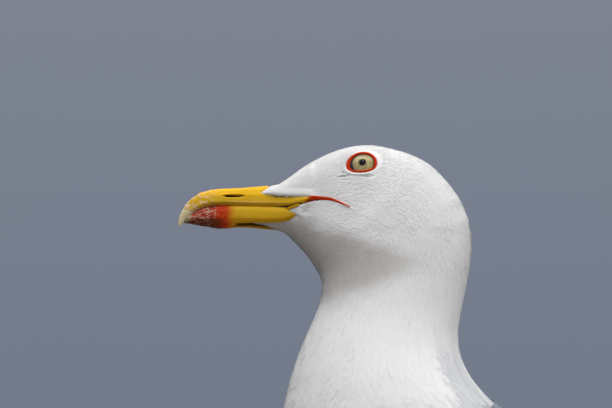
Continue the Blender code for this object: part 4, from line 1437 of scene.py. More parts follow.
            spine_normal[:, row] = unit(between)
            bow = math.sin(math.pi * share) * 0.02
            spine[:, row] += spine_normal[:, row] * (length * bow)[:, None]
        way = unit(spine[:, last] - spine[:, 0])
        across = unit(np.cross(way[:, None, :], spine_normal))
        count = len(points)
        numbers = {"mantle": self.skin.mantle(points, part), "black_and_shade": self.skin.shade[index],
                   "edge": np.zeros(count), "quill": np.full(count, 0.0 if plot.shape is FINE else 0.4),
                   "contrast": np.full(count, plot.contrast), "tone": self.rng.uniform(-1.0, 1.0, count)}
        half_width = length * plot.slim / 2 * self.rng.uniform(0.85, 1.15, count)
        chart = self.chart(points, station)
        return Vanes(plot.shape, spine, across, spine_normal, half_width, numbers, chart)

    def chart(self, points: Array, station: Array) -> Array:
        """Where roots lie on the skin's unwrap, along and round the bird, filling the chart.

        Args:
            points: roots in metres.
            station: where they are along the bird.

        Returns:
            A place in the chart for each root.
        """
        chart = np.stack([station, self.lie.angle(points, station)], axis=1)
        low, high = chart.min(axis=0), chart.max(axis=0)
        return 0.01 + 0.98 * (chart - low) / (high - low)

    def dress(self, plumage: Material) -> None:
        """Grows every plot and shows it."""
        for plot in self.PLOTS:
            show(plot.name, self.grow(plot).mesh(plot.name), plumage)


# ---- bill

@dataclass(frozen=True)
class FeatherLine:
    """Outline of the bare horn at the bill's root, seen from the side and a little below."""

    # Back, and height as seen by someone who looks up at the bird's side
    outline: Sequence[Row] = (
        (-62.0, 2.0), (-44.2, -4.0), (-45.5, -6.0), (-50.8, -9.6), (-48.9, -10.2), (-45.5, -10.5),
        (-40.2, -10.9), (-33.9, -11.2), (-28.9, -11.4), (-25.5, -11.7), (-22.0, -12.2), (-22.0, -14.0),
        (-25.8, -14.2),
        (-28.9, -15.0), (-32.3, -16.2), (-34.5, -17.4), (-36.9, -18.5), (-35.6, -19.0), (-31.8, -20.9),
        (-27.4, -23.6), (-29.0, -25.8), (-62.0, -31.0))
    look_side: float = 0.292
    look_up: float = 0.956
    from_back: float = -57.0

    def seen_height(self, side: Array, up: Array) -> Array:
        """Height of points as seen from below the bird's side."""
        return np.abs(side) * self.look_side + up * self.look_up

    def bare(self, points: Array) -> Array:
        """How far points are inside the bare horn's outline, in millimetres; feathered ones are below 0.

        Args:
            points: places in metres.

        Returns:
            Millimetres for each place.
        """
        back, side, up = in_mm(points)
        spots = np.stack([back, self.seen_height(side, up)], axis=1)
        corners = np.array(self.outline)
        start, end = corners, np.roll(corners, -1, axis=0)
        edge = end - start
        away = spots[:, None, :] - start[None]
        share = np.einsum("pij,ij->pi", away, edge) / np.einsum("ij,ij->i", edge, edge)[None]
        share = np.clip(share, 0.0, 1.0)
        distance = np.linalg.norm(away - share[..., None] * edge[None], axis=2).min(axis=1)
        above_start = start[None, :, 1] > spots[:, None, 1]
        above_end = end[None, :, 1] > spots[:, None, 1]
        rise = np.where(np.abs(edge[:, 1]) < 1e-9, 1e-9, edge[:, 1])
        meet = start[None, :, 0] + (spots[:, None, 1] - start[None, :, 1]) * (edge[:, 0] / rise)[None]
        inside = ((above_start != above_end) & (spots[:, None, 0] < meet)).sum(axis=1) % 2 == 1
        signed = np.where(inside, distance, -distance)
        return np.where(back < self.from_back, 9.0, signed)


@dataclass
class Bill:
    """Both halves of the bill, with the slit nostrils, the line over the cutting edge and worn horn."""

    line: FeatherLine
    voxel: float = 0.00036
    nostril: tuple[float, float, float, float] = (-64.0, -13.45, 5.4, 0.42)
    closed_gap: float = 0.05        # millimetres left between the halves
    tuck: float = 0.80              # how far the horn goes under the feathers
    mouth_rise: float = 0.85        # millimetres that the mouth's line is lifted
    grooves: Sequence[Row3] = ((2.1, 0.30, 0.07), (3.9, 0.40, 0.07))

    def build(self) -> None:
        """Makes and sculpts the two meshes."""
        upper = remeshed(copy_node("upper_bill"), self.voxel, 4)
        lower = remeshed(copy_node("lower_bill"), self.voxel, 4)
        self.meshes = {}
        trees = {"upper_bill": BVHTree.FromBMesh(upper), "lower_bill": BVHTree.FromBMesh(lower)}
        for name, bm, other in (("upper_bill", upper, "lower_bill"), ("lower_bill", lower, "upper_bill")):
            self.meshes[name] = to_mesh(bm, name)
            self.sculpt(self.meshes[name], trees[other], name == "lower_bill")
        self.tree = tree_of(*self.meshes.values())

    def sculpt(self, mesh: Mesh, other: BVHTree, lower: bool) -> None:
        """Closes the mouth, cuts nostrils and lines, roughens worn horn and tucks in the root.

        Args:
            mesh: one half of the bill.
            other: the other half's surface.
            lower: whether the mesh is the lower half.
        """
        points, normals = coordinates(mesh), normals_of(mesh)
        back, side, up = in_mm(points)
        near = [other.find_nearest(Vector(p), 0.004) for p in points]
        gap = np.array([9.0 if hit[3] is None else hit[3] / MM for hit in near])
        to_other = np.array([normals[i] if hit[0] is None else np.array(hit[0]) - points[i]
                             for i, hit in enumerate(near)])
        faces_it = np.einsum("pi,pi->p", unit(to_other), normals)
        mouth = smoothstep(0.25, 0.75, faces_it) * (1.0 - smoothstep(1.1, 2.4, gap))
        close = np.clip(gap - self.closed_gap, 0.0, 1.2) * (0.64 if lower else 0.36) * mouth
        points = points + unit(to_other) * close[:, None] * MM
        lift = self.mouth_rise * (1.0 - smoothstep(0.8, 4.6, gap)) * np.interp(
            back, [-90.0, -80.0, -44.0, -34.0], [0.0, 1.0, 1.0, 0.0])
        points[:, 2] += lift * MM
        press = np.zeros(len(points))
        n_back, n_up, half_length, half_height = self.nostril
        along = (back - n_back) / half_length
        height = (up - n_up) / (half_height * np.clip(1.15 - 0.55 * along, 0.25, 1.3))
        slit = 1.0 - smoothstep(0.75, 1.15, np.sqrt(along ** 2 + height ** 2))
        rim = np.exp(-((np.sqrt(along ** 2 + (height * 0.55) ** 2) - 1.25) / 0.30) ** 2)
        if not lower:
            press += slit * 1.3 - rim * 0.10
            for rise, half_width, deep in self.grooves:
                line = np.exp(-((gap - rise) / half_width) ** 2)
                line *= smoothstep(0.15, 0.6, np.abs(normals[:, 0]))
                line *= smoothstep(-88.0, -80.0, back) * (1.0 - smoothstep(-34.0, -28.0, back))
                press += line * deep * (1.0 + 0.5 * ripple(points, 0.004, 31))
        stretched = points * np.array([1.0, 0.28, 1.0])
        worn = smoothstep(66.0, 80.0, -back)
        press += 0.035 * ripple(stretched, 0.0011, 5) + worn * 0.075 * ripple(points, 0.0013, 7)
        if lower:
            patch = smoothstep(71.0, 75.0, -back) * (1.0 - smoothstep(85.0, 88.0, -back))
            press += patch * 0.13 * ripple(points * np.array([1.0, 0.5, 1.0]), 0.0014, 9)
        bare = self.line.bare(points)
        press += (1.0 - smoothstep(-0.45, 0.45, bare)) * self.tuck
        points = points - normals * press[:, None] * MM
        mesh.vertices.foreach_set("co", points.ravel())
        mesh.update()
        # painted shade where the halves meet and, on the lower bill, on the inner sides that face each other
        # under the chin; the nostril slits are painted dark as shade too
        dark = mouth * (1.0 - smoothstep(0.3, 1.1, gap)) * 0.22
        if lower:
            towards_middle = -normals[:, 0] * np.sign(side)
            stations = np.arange(-70.0, -28.0, 2.0)
            lowest = [np.min(up, where=np.abs(back - station) < 1.5, initial=0.0) for station in stations]
            above_edge = up - np.interp(back, stations, lowest)
            dark = np.maximum(dark, smoothstep(0.35, 0.70, towards_middle) * smoothstep(-66.0, -60.0, back)
                              * smoothstep(0.7, 1.5, above_edge) * 0.9)
        set_numbers(mesh, "hollow", np.maximum(dark, slit if not lower else 0.0))
        set_numbers(mesh, "lower", np.full(len(points), 1.0 if lower else 0.0))
        set_numbers(mesh, "mouth", gap)

    def dress(self, horn: Material) -> None:
        """Shows both halves."""
        for name, mesh in self.meshes.items():
            show(name + "_horn", mesh, horn, [name])


# ---- eyes and mouth corners

@dataclass
class Eyes:
    """Both eyes and the red rims round them."""

    outmost: Row3 = (-0.4, 17.8, 0.7)
    radius: float = 9.8
    height: float = 8.3
    depth: float = 7.2
    looks_ahead: float = 12.0
    looks_up: float = 12.0
    front: float = 7.15
    rear: float = 6.65
    top: float = 5.1
    bottom: float = 5.25
    corners_up: float = -1.2
    fullness: float = 0.85
    top_thickness: float = 0.80     # half thickness of the rim
    bottom_thickness: float = 0.42
    front_thickness: float = 1.15
    rear_thickness: float = 0.74
    rim_rise: float = 0.75
    rim_lift: float = 0.22          # of the rim's middle over the eyeball
    rim_steps: int = 132
    rim_section: int = 14
    beads: int = 46
    bead_height: float = 0.07
    chart_width: float = 24.0       # millimetres that the eyeball's chart is wide
    bulge: Row = (0.28, 6.0)    # rise and radius of the clear front

    def socket(self) -> Matrix:
        """Turns and moves a shape made round the origin, looking along +X, into the left eye socket.

        Returns:
            The matrix.
        """
        ahead = Matrix.Rotation(math.radians(-self.looks_ahead), 3, "Z")
        rise = Matrix.Rotation(math.radians(-self.looks_up), 3, "Y")
        turn = (ahead @ rise).to_4x4()
        outwards = ahead @ rise @ Vector((self.depth * MM, 0.0, 0.0))
        return Matrix.Translation(at(*self.outmost) - outwards) @ turn

    def into_socket(self, bm: BMesh, hand: str) -> BMesh:
        """Moves a shape into the left or the right socket.

        Args:
            bm: a closed shape round the origin, looking along +X.
            hand: L or R.

        Returns:
            The same shape, facing outwards.
        """
        bmesh.ops.transform(bm, matrix=self.socket(), verts=bm.verts)
        if hand == "R":
            bmesh.ops.scale(bm, vec=(-1.0, 1.0, 1.0), verts=bm.verts)
            bmesh.ops.recalc_face_normals(bm, faces=bm.faces)
        return bm

    def eyeball(self, hand: str) -> BMesh:
        """One eyeball, with a chart of its front.

        Args:
            hand: L or R.

        Returns:
            The eyeball in its place.
        """
        bm = bmesh.new()
        bmesh.ops.create_uvsphere(bm, u_segments=72, v_segments=44, radius=1.0)
        lying = Matrix.Rotation(math.radians(90.0), 3, "Y")
        bmesh.ops.rotate(bm, cent=(0, 0, 0), matrix=lying, verts=bm.verts)
        bmesh.ops.scale(bm, vec=Vector((self.depth, self.radius, self.height)) * MM, verts=bm.verts)
        chart = bm.loops.layers.uv.new("Disc")
        for loop in (loop for face in bm.faces for loop in face.loops):
            _, across, high = loop.vert.co / MM / self.chart_width
            loop[chart].uv = (0.5 + across, 0.5 + high)
        rise, reach = self.bulge
        for vert in bm.verts:
            spread = math.hypot(vert.co.y, vert.co.z) / MM
            if vert.co.x > 0 and spread < reach:
                vert.co.x += rise * MM * (0.5 + 0.5 * math.cos(math.pi * spread / reach))
        return self.into_socket(bm, hand)

    def outline(self, theta: Array) -> Array:
        """The line in the middle of the rim.

        Args:
            theta: angles round the eye, from 0 at its front corner.

        Returns:
            Back and up of the line, in millimetres from the eye's middle.
        """
        ahead, rise = np.cos(theta), np.sin(theta)
        back = -ahead * np.where(ahead > 0, self.front, self.rear)
        arch = np.where(rise > 0, self.top - self.corners_up, self.bottom + self.corners_up)
        up = self.corners_up + np.sign(rise) * np.abs(rise) ** self.fullness * arch
        return np.stack([back, up], axis=1)

    def rim(self, hand: str) -> BMesh:
        """The fleshy rim, beaded along its length.

        Args:
            hand: L or R.

        Returns:
            The rim in its place.
        """
        theta = np.linspace(0.0, 2 * math.pi, self.rim_steps, endpoint=False)
        ahead, rise = np.cos(theta), np.sin(theta)
        line = self.outline(theta)
        thick = self.bottom_thickness + (self.top_thickness - self.bottom_thickness) * (0.5 + 0.5 * rise)
        corner = np.where(ahead > 0, self.front_thickness, self.rear_thickness)
        thick = thick + (corner - thick) * ahead ** 4
        thick *= 1.0 + self.bead_height * np.sin(theta * self.beads) * np.sin(theta * 7.0 + 1.0) ** 2
        level = 1.0 - (line[:, 0] / self.radius) ** 2 - (line[:, 1] / self.height) ** 2
        surface = self.depth * np.sqrt(np.maximum(level, 0.02))
        turn = np.linspace(0.0, 2 * math.pi, self.rim_section, endpoint=False)
        share = 1.0 + np.cos(turn)[None] * (thick / np.linalg.norm(line, axis=1))[:, None]
        out = surface[:, None] + np.sin(turn)[None] * self.rim_rise + self.rim_lift
        rings = np.float32(np.stack([out, line[:, :1] * share, line[:, 1:] * share], axis=2)) * MM
        return self.into_socket(tube(rings, closed=True), hand)

    def dress(self, eye: Material, rim: Material) -> None:
        """Shows both eyes and rims.

        Args:
            eye: the eyeballs' finish.
            rim: the rims' finish.
        """
        for hand in "LR":
            show("eyeball_" + hand, to_mesh(self.eyeball(hand), "eyeball"), eye, ["eye_" + hand])
            show("eye_rim_" + hand, to_mesh(self.rim(hand), "rim"), rim, ["eyelid_" + hand])


@dataclass
class MouthCorners:
    """The red skin at the corners of the mouth, laid on the face."""

    # Back, up and half height along the left corner
    course: Sequence[Row3] = (
        (-38.0, -21.6, 0.6), (-36.0, -21.05, 1.0), (-34.0, -20.55, 0.95), (-32.0, -19.95, 0.85),
        (-30.0, -19.3, 0.8), (-28.4, -18.7, 1.1), (-26.6, -17.9, 1.5), (-25.0, -17.5, 1.8),
        (-23.0, -17.5, 1.5), (-21.0, -17.7, 1.25), (-18.0, -18.1, 1.0), (-15.3, -18.6, 0.75),
        (-12.5, -20.0, 0.55), (-9.8, -21.7, 0.40), (-6.4, -24.0, 0.20))
    thickness: float = 0.42
    waves: Row = (0.15, 1.7)        # share of the thickness, and turn from step to step
    proud: float = 0.12             # of the lip over what it lies on, where it is thinnest
    swell: Row = (0.30, 1.5)        # further rise, and the half height that has all of it
    steps: int = 80
    section: int = 12
    slit_course: tuple[Row, Row] = ((-30.0, -24.0), (0.62, -0.45))
    slit_half: float = 0.55
    slit_end: Row = (-18.0, 3.0)    # back where the slit ends, and how far it fades

    def build(self, ground: BVHTree, hand: str) -> Mesh:
        """Makes one corner.

        Args:
            ground: skin and horn that it lies on.
            hand: L or R.

        Returns:
            The mesh.
        """
        table = np.array(self.course)
        rows = np.linspace(0, len(table) - 1, self.steps)
        back, up, half = (np.interp(rows, range(len(table)), table[:, i]) for i in range(3))
        for line in (back, up, half):
            relax(line)
        sign = 1.0 if hand == "L" else -1.0
        hits = [ground.ray_cast(at(b, sign * 40.0, u), Vector((-sign, 0.0, 0.0))) for b, u in zip(back, up)]
        spots, outs = np.array([hit[0] for hit in hits]), unit(np.array([hit[1] for hit in hits]))
        for _ in range(6):
            relax(spots)
            relax(outs)
            outs = unit(outs)
        rise = unit(np.cross(outs, unit(np.gradient(spots, axis=0))))
        turn = np.linspace(0.0, 2 * math.pi, self.section, endpoint=False)
        height, pace = self.waves
        thick = np.minimum(self.thickness, half * 0.8) * (1.0 + height * np.sin(np.arange(self.steps) * pace))
        flat = half[:, None] * np.cos(turn)
        lift = self.proud + self.swell[0] * np.minimum(1.0, half / self.swell[1])
        out = thick[:, None] * np.sin(turn) + lift[:, None]
        spot, across, away = (np.float32(line)[:, None] for line in (spots, rise, outs))
        rings = spot + (across * np.float32(flat)[..., None] + away * np.float32(out)[..., None]) * MM
        mesh = to_mesh(tube(rings, closed=False), "mouth_corner")
        high = flat - (np.interp(back, *self.slit_course) * half)[:, None]
        end, fade = self.slit_end
        slit = np.maximum(0.0, 1.0 - np.abs(high) / self.slit_half)
        slit = slit * np.clip((end - back) / fade, 0.0, 1.0)[:, None]
        set_numbers(mesh, "slit", slit.ravel())
        return mesh

    def dress(self, ground: BVHTree, skin: Material) -> None:
        """Shows both corners.

        Args:
            ground: skin and horn that they lie on.
            skin: their finish.
        """
        self.trees = {}
        for hand in "LR":
            mesh = self.build(ground, hand)
            self.trees[hand] = tree_of(mesh)
            show("mouth_corner_" + hand, mesh, skin, ["gape_" + hand])


# ---- legs

@dataclass
class Legs:
    """Shanks, webbed feet and claws, with plates along their fronts."""

    shank_voxel: float = 0.00042
    foot_voxel: float = 0.00046
    claw_voxel: float = 0.00022
    plate: float = 2.1              # millimetres from plate to plate
    plate_groove: float = 0.22
    stance: float = 27.0
    ankle: Row = (96.0, -382.8)
    toes: Sequence[float] = (-25.0, 2.0, 27.0)
    toe_turn: float = 6.0

    def shank(self, hand: str) -> Mesh:
        """One shank.

        Args:
            hand: L or R.

        Returns:
            Its mesh.
        """
        mesh = self.even("shank_" + hand, self.shank_voxel, 3)
        points, normals = coordinates(mesh), normals_of(mesh)
        _, _, up = in_mm(points)
        front = smoothstep(0.15, 0.55, -normals[:, 1])
        step = up / self.plate + 0.12 * ripple(points, 0.004, 41)
        groove = np.exp(-(((step - np.round(step)) * self.plate) / 0.22) ** 2)
        net = 0.05 * ripple(points, 0.0012, 43)
        self.finish(mesh, points, normals, groove * front * self.plate_groove + net, front)
        return mesh

    def foot(self, hand: str) -> Mesh:
        """One foot.

        Args:
            hand: L or R.

        Returns:
            Its mesh.
        """
        mesh = self.even("foot_" + hand, self.foot_voxel, 2)
        points, normals = coordinates(mesh), normals_of(mesh)
        back, side, up = in_mm(points)
        sign = 1.0 if hand == "L" else -1.0
        out = side * sign - self.stance
        ahead = self.ankle[0] - back
        best, along = np.full(len(points), FAR), np.zeros(len(points))
        for degrees in self.toes:
            turn = math.radians(degrees + self.toe_turn)
            length = ahead * math.cos(turn) + out * math.sin(turn)
            off = np.abs(out * math.cos(turn) - ahead * math.sin(turn))
            off = np.where(length > 0, off, FAR)
            along = np.where(off < best, length, along)
            best = np.minimum(best, off)
        top = smoothstep(0.35, 0.7, normals[:, 2]) * (1.0 - smoothstep(2.2, 3.0, best))
        step = along / self.plate
        groove = np.exp(-(((step - np.round(step)) * self.plate) / 0.24) ** 2)
        web = smoothstep(3.0, 5.0, best) * smoothstep(0.5, 0.9, np.abs(normals[:, 2]))
        folds = 0.10 * ripple(points * np.array([1.0, 0.35, 1.0]), 0.0022, 47) * web
        sole = smoothstep(-387.6, -387.0, up)
        press = (groove * top * self.plate_groove + folds + 0.04 * ripple(points, 0.0011, 53)) * sole
        self.finish(mesh, points, normals, press, top)
        return mesh

    @staticmethod
    def even(node: str, voxel: float, smoothing: int) -> Mesh:
        """A finely and evenly divided copy of a solid."""
        return to_mesh(remeshed(copy_node(node), voxel, smoothing), node)

    @staticmethod
    def finish(mesh: Mesh, points: Array, normals: Array, press: Array,
               plates: Array) -> None:
        """Presses the relief in and tells the material where the plates are.

        Args:
            mesh: the mesh, which is changed.
            points: its points.
            normals: its normals.
            press: millimetres that each point goes in.
            plates: 1 where the large plates are.
        """
        moved = points - normals * press[:, None] * MM
        moved[:, 2] = np.maximum(moved[:, 2], 0.0)
        mesh.vertices.foreach_set("co", moved.ravel())
        mesh.update()
        set_numbers(mesh, "plates", plates)

    def dress(self, leg: Material, claw: Material) -> None:
        """Shows legs and claws.

        Args:
            leg: finish of shanks and feet.
            claw: the claws' finish.
        """
        for hand in "LR":
            show("leg_" + hand, self.shank(hand), leg, ["shank_" + hand])
            show("webbed_foot_" + hand, self.foot(hand), leg, ["foot_" + hand])
            for toe in ("inner", "middle", "outer", "hind"):
                node = f"claw_{toe}_{hand}"
                mesh = self.even(node, self.claw_voxel, 2)
                show(f"toe_{node}", mesh, claw, [node])


# ---- quills

@dataclass(frozen=True)
class Quill:
    """One large feather: its line over the bird, its widths and its markings."""

    line: Array                # points from root to tip, in metres
    out: Array                 # which way its upper face looks at those points
    half_width: float
    tip_start: float = 0.80         # share of the length where it starts to round off
    lead: float = 0.5               # share of the width on the lower side of the shaft
    mantle: float = 0.0
    black_and_shade: float = 0.0
    white_tip: float = 0.0          # millimetres


class QuillMaker:
    """Builds large feathers as closed, thin, cambered shapes with a raised shaft."""

    REACH = np.array([-1.0, -0.78, -0.52, -0.26, -0.05, 0.0, 0.05, 0.26, 0.52, 0.78, 1.0])
    RIDGE = np.array([0.0, 0.0, 0.0, 0.0, 0.04, 0.38, 0.04, 0.0, 0.0, 0.0, 0.0])
    STATIONS = 26
    THICK = 0.28
    CAMBER = 0.16

    def __init__(self) -> None:
        """Starts with no feathers."""
        self.points: list[Array] = []
        self.faces: list[Array] = []
        self.chart: list[Array] = []
        self.bake: list[Array] = []
        self.numbers: dict[str, list[Array]] = {
            key: [] for key in ("mantle", "black_and_shade", "edge", "quill", "tone", "contrast")}
        self.count = 0

    def add(self, quill: Quill, seed: int) -> None:
        """Adds one feather.

        Args:
            quill: its sizes.
            seed: number that varies its edges.
        """
        line = quill.line
        rows = np.linspace(0.0, 1.0, self.STATIONS) ** 0.9
        knots = np.concatenate([[0.0], np.cumsum(np.linalg.norm(np.diff(line, axis=0), axis=1))])
        length = knots[-1]
        knots = knots / length
        spine = np.stack([np.interp(rows, knots, line[:, i]) for i in range(3)], axis=1)
        out = np.stack([np.interp(rows, knots, quill.out[:, i]) for i in range(3)], axis=1)
        for _ in range(5):
            relax(spine)
            relax(out)
        way = unit(np.gradient(spine, axis=0))
        out = unit(out - way * np.einsum("pi,pi->p", out, way)[:, None])
        high = unit(np.cross(out, way))
        high = high * np.where(high[:, 2:3] < 0, -1.0, 1.0)
        rng = np.random.default_rng(seed)
        taper = np.clip((rows - quill.tip_start) / (1.0 - quill.tip_start), 0.0, 1.0)
        width = quill.half_width * np.sqrt(np.clip(1.0 - taper ** 2.2, 0.0, 1.0)) * (0.45 + 0.55 * smoothstep(
            0.0, 0.22, rows))
        width = np.maximum(width, 0.12)
        jitter = 1.0 + rng.normal(0.0, 0.012, (self.STATIONS, 2))
        low_share, high_share = 2.0 * quill.lead, 2.0 * (1.0 - quill.lead)
        layers = []
        for face in (1.0, -1.0):
            reach = self.REACH
            spread = np.where(reach < 0, reach * low_share, reach * high_share)[None, :] * width[:, None]
            spread = spread * np.where(reach < 0, jitter[:, :1], jitter[:, 1:])
            fall = -self.CAMBER * quill.half_width * (reach ** 2)[None, :] * np.ones((self.STATIONS, 1))
            rise = fall + (self.RIDGE[None, :] * (1.0 - rows[:, None] * 0.8) if face > 0 else 0.0)
            rise = rise + face * self.THICK / 2 * (1.0 - 0.5 * np.abs(reach))[None, :]
            offset = high[:, None, :] * spread[..., None] + out[:, None, :] * rise[..., None]
            layers.append(spine[:, None, :] + offset * MM)
        wide = len(self.REACH)
        top, under = layers
        points = np.concatenate([top.reshape(-1, 3), under.reshape(-1, 3)])
        half = self.STATIONS * wide
        cells = np.arange(half).reshape(self.STATIONS, wide)
        a, b, c, d = cells[:-1, :-1], cells[:-1, 1:], cells[1:, 1:], cells[1:, :-1]
        border = np.concatenate([cells[:, 0], cells[-1, 1:], cells[-2::-1, -1], cells[0, -2:0:-1]])
        after = np.roll(border, -1)
        quads = np.concatenate([np.stack([a, d, c, b], axis=-1).reshape(-1, 4),
                                np.stack([a, b, c, d], axis=-1).reshape(-1, 4) + half,
                                np.stack([border, border + half, after + half, after], axis=1)])
        probe = points[quads[0]]
        if np.cross(probe[1] - probe[0], probe[3] - probe[0]) @ out[0] < 0:
            quads = quads[:, ::-1]
        across = np.tile((self.REACH + 1.0) / 2.0, self.STATIONS)
        chart = np.stack([across, np.repeat(rows, wide)], axis=1)
        chart = np.concatenate([chart, chart])
        self.faces.append(quads + sum(len(p) for p in self.points))
        self.points.append(points)
        corner = chart[quads.ravel()]
        self.chart.append(corner)
        column, row = self.count % 8, self.count // 8
        nudge = np.array([0.0, 0.5]) * np.repeat(quads[:, 0] >= half, 4)[:, None]
        self.bake.append((np.array([column, row * 2]) + 0.06 + corner * 0.88 + nudge * 2.0))
        for key, value in (("mantle", quill.mantle), ("black_and_shade", quill.black_and_shade),
                           ("edge", quill.white_tip * MM / length), ("quill", 1.0),
                           ("tone", rng.uniform(-0.5, 0.5)), ("contrast", 0.6)):
            self.numbers[key].append(np.full(len(points), value))
        self.count += 1

    def mesh(self, name: str) -> Mesh:
        """All the feathers as one mesh.

        Args:
            name: the mesh's name.

        Returns:
            The mesh.
        """
        bake = np.concatenate(self.bake)
        charts = {"Vane": np.concatenate(self.chart), "OFBake": 0.01 + 0.98 * bake / bake.max(axis=0)}
        return quad_mesh(name, np.concatenate(self.points), np.concatenate(self.faces), charts,
                         {key: np.concatenate(values) for key, values in self.numbers.items()})


@dataclass
class Flight:
    """The large feathers: scapulars, coverts, inner quills, black wing tips and the white tail."""

    ground: BVHTree
    primaries: Sequence[float] = (449.0, 437.0, 419.0, 397.0, 372.0, 346.0)
    # Back, side and up of the longest primary; the others lie over it
    primary_course: Sequence[Row3] = (
        (276.0, 9.5, -239.0), (325.0, 9.2, -243.5), (402.0, 8.2, -252.6), (449.0, 6.5, -262.0))
    secondaries: int = 7
    coverts_in_row: int = 12
    scapulars_in_row: int = 9
    tail_pairs: int = 6
    tail_row: Row = (262.0, 395.0)
    # Back and up at the root, the middle and the tip, from the lowest and longest one upwards
    tertials: Sequence[tuple[Row, Row, Row]] = (
        ((204.0, -226.0), (262.0, -233.5), (318.0, -239.5)),
        ((200.0, -215.5), (256.0, -224.5), (311.0, -232.5)),
        ((196.0, -205.0), (248.0, -215.0), (301.0, -225.0)),
        ((192.0, -195.0), (240.0, -206.0), (288.0, -217.0)),
        ((188.0, -186.0), (230.0, -197.0), (272.0, -208.5)))
    # Up and length of the first feather, half width, its back and the step to the next
    covert_rows: Sequence[tuple[float, float, float, float, float]] = (
        (-212.0, 56.0, 9.0, 58.0, 12.5), (-199.0, 48.0, 9.0, 50.0, 12.0), (-185.0, 40.0, 8.5, 42.0, 11.5),
        (-171.0, 34.0, 8.0, 40.0, 11.0))

    def laid(self, route: Sequence[Row3], way: Vector, lift: float) -> Line:
        """Lays a line on the skin.

        Args:
            route: back, side and up of points outside the skin.
            way: the direction in which they fall on it.
            lift: millimetres that the line keeps over the skin.

        Returns:
            Points and the skin's normals there; points that miss go on straight from the last ones.
        """
        spots: list[Array] = []
        outs: list[Array] = []
        dense = [tuple(np.interp(t, range(len(route)), [row[i] for row in route]) for i in range(3))
                 for t in np.linspace(0, len(route) - 1, 9)]
        for place in dense:
            spot, normal, _, _ = self.ground.ray_cast(at(*place), way)
            if spot is None or (len(spots) > 1 and np.linalg.norm(np.array(spot) - spots[-1]) > 0.018):
                spots.append(spots[-1] * 2 - spots[-2])
                outs.append(outs[-1])
            else:
                spots.append(np.array(spot) + np.array(normal) * lift * MM)
                outs.append(np.array(normal))
        return np.array(spots), np.array(outs)

    def from_side(self, route: Sequence[Row], sign: float, lift: float) -> Line:
        """Lays a line on the bird's side, given by back and up."""
        way = Vector((-sign, 0.0, -0.127)).normalized()
        return self.laid([(b, sign * 95.0, u + 12.0) for b, u in route], way, lift)

    def from_above(self, route: Sequence[Row], lift: float) -> Line:
        """Lays a line on the bird's back, given by back and side."""
        return self.laid([(b, s, -80.0) for b, s in route], Vector((0.0, 0.0, -1.0)), lift)

    def primary(self, number: int, sign: float) -> Quill:
        """A primary, counted from the one that reaches the farthest back.

        Args:
            number: which feather.
            sign: 1 for the left side and -1 for the right.

        Returns:
            The feather.
        """
        backs = np.linspace(276.0, self.primaries[number], 7)
        route = np.array(self.primary_course)
        sides = np.interp(backs, route[:, 0], route[:, 1]) + number * 0.85
        ups = np.interp(backs, route[:, 0], route[:, 2]) + number * 1.45
        points = np.array([at(b, sign * s, u) for b, s, u in zip(backs, sides, ups)])
        lean = math.radians(32.0)
        out = np.tile((sign * math.cos(lean), 0.0, math.sin(lean)), (len(points), 1))
        white = 4.0 if number == 0 else 8.0
        return Quill(points, out, 8.2 - 0.25 * number, 0.88, 0.42, black_and_shade=1.0, white_tip=white)

    def tail_feather(self, number: int, sign: float) -> Quill:
        """A tail feather, counted from the middle.

        Args:
            number: which feather.
            sign: 1 for the left side and -1 for the right.

        Returns:
            The feather.
        """
        front, rear = self.tail_row
        spread = number / (self.tail_pairs - 1)
        root, tip = 1.2 + number * 1.4, 2.6 + number * 4.6
        drop = number * 0.42
        line = [(front - 4.0, root, -226.6 - drop),
                (front + 48.0, root + (tip - root) * 0.30, -242.0 - drop * 1.2),
                (rear - 40.0, root + (tip - root) * 0.70, -261.0 - drop * 1.4 - 0.6 * spread),
                (rear - 1.0 - spread * 1.5, tip, -272.2 - drop * 1.2)]
        points = np.array([at(b, sign * s, u) for b, s, u in line])
        lean = math.radians(80.0 - spread * 4.0)
        out = np.tile((sign * math.cos(lean), 0.0, math.sin(lean)), (4, 1))
        return Quill(points, out, 8.8, 0.90, 0.5)

    def tertial(self, number: int, sign: float) -> Quill:
        """A tertial, counted from the lowest and longest."""
        line, out = self.from_side(self.tertials[number], sign, 1.9 + number * 0.75)
        return Quill(line, out, 11.5 - number * 0.5, 0.90, 0.5, mantle=1.0, white_tip=11.0)

    def secondary(self, number: int, sign: float) -> Quill:
        """A secondary of the lower edge, counted from the front.

        Args:
            number: which feather.
            sign: 1 for the left side and -1 for the right.

        Returns:
            The feather.
        """
        tip = 196.0 + 15.0 * number
        route = ((tip - 66.0, -233.0), (tip, -246.5 + number * 0.5))
        line, out = self.from_side(route, sign, 0.7 + number * 0.2)
        return Quill(line, out, 7.0, 0.82, 0.5, mantle=1.0, white_tip=6.0)

    def covert(self, row: int, number: int, sign: float) -> Quill:
        """A wing covert: row 0 is the lowest, and each row is counted from the front.

        Args:
            row: which row.
            number: which feather.
            sign: 1 for the left side and -1 for the right.

        Returns:
            The feather.
        """
        up, length, width, first, step = self.covert_rows[row]
        root = first + step * number
        fall = 0.085 * (root - first)
        line, out = self.from_side(((root, up - fall), (root + length, up - fall - length * 0.24)), sign,
                                   0.9 + row * 0.55 + number * 0.05)
        return Quill(line, out, width, 0.70, 0.5, mantle=1.0)

    def scapular(self, row: int, number: int, sign: float) -> Quill:
        """A scapular: row 0 is the outermost, and each row is counted from the front.

        Args:
            row: which row.
            number: which feather.
            sign: 1 for the left side and -1 for the right.

        Returns:
            The feather.
        """
        root = 60.0 + 16.0 * number + 7.0 * (row % 2)
        side = (39.0 - row * 8.0) * (1.0 - 0.030 * number)
        route = ((root, sign * side), (root + 39.0, sign * (side - 2.6)))
        line, out = self.from_above(route, 1.3 + row * 0.55)
        return Quill(line, out, 8.6, 0.66, 0.5, mantle=1.0)

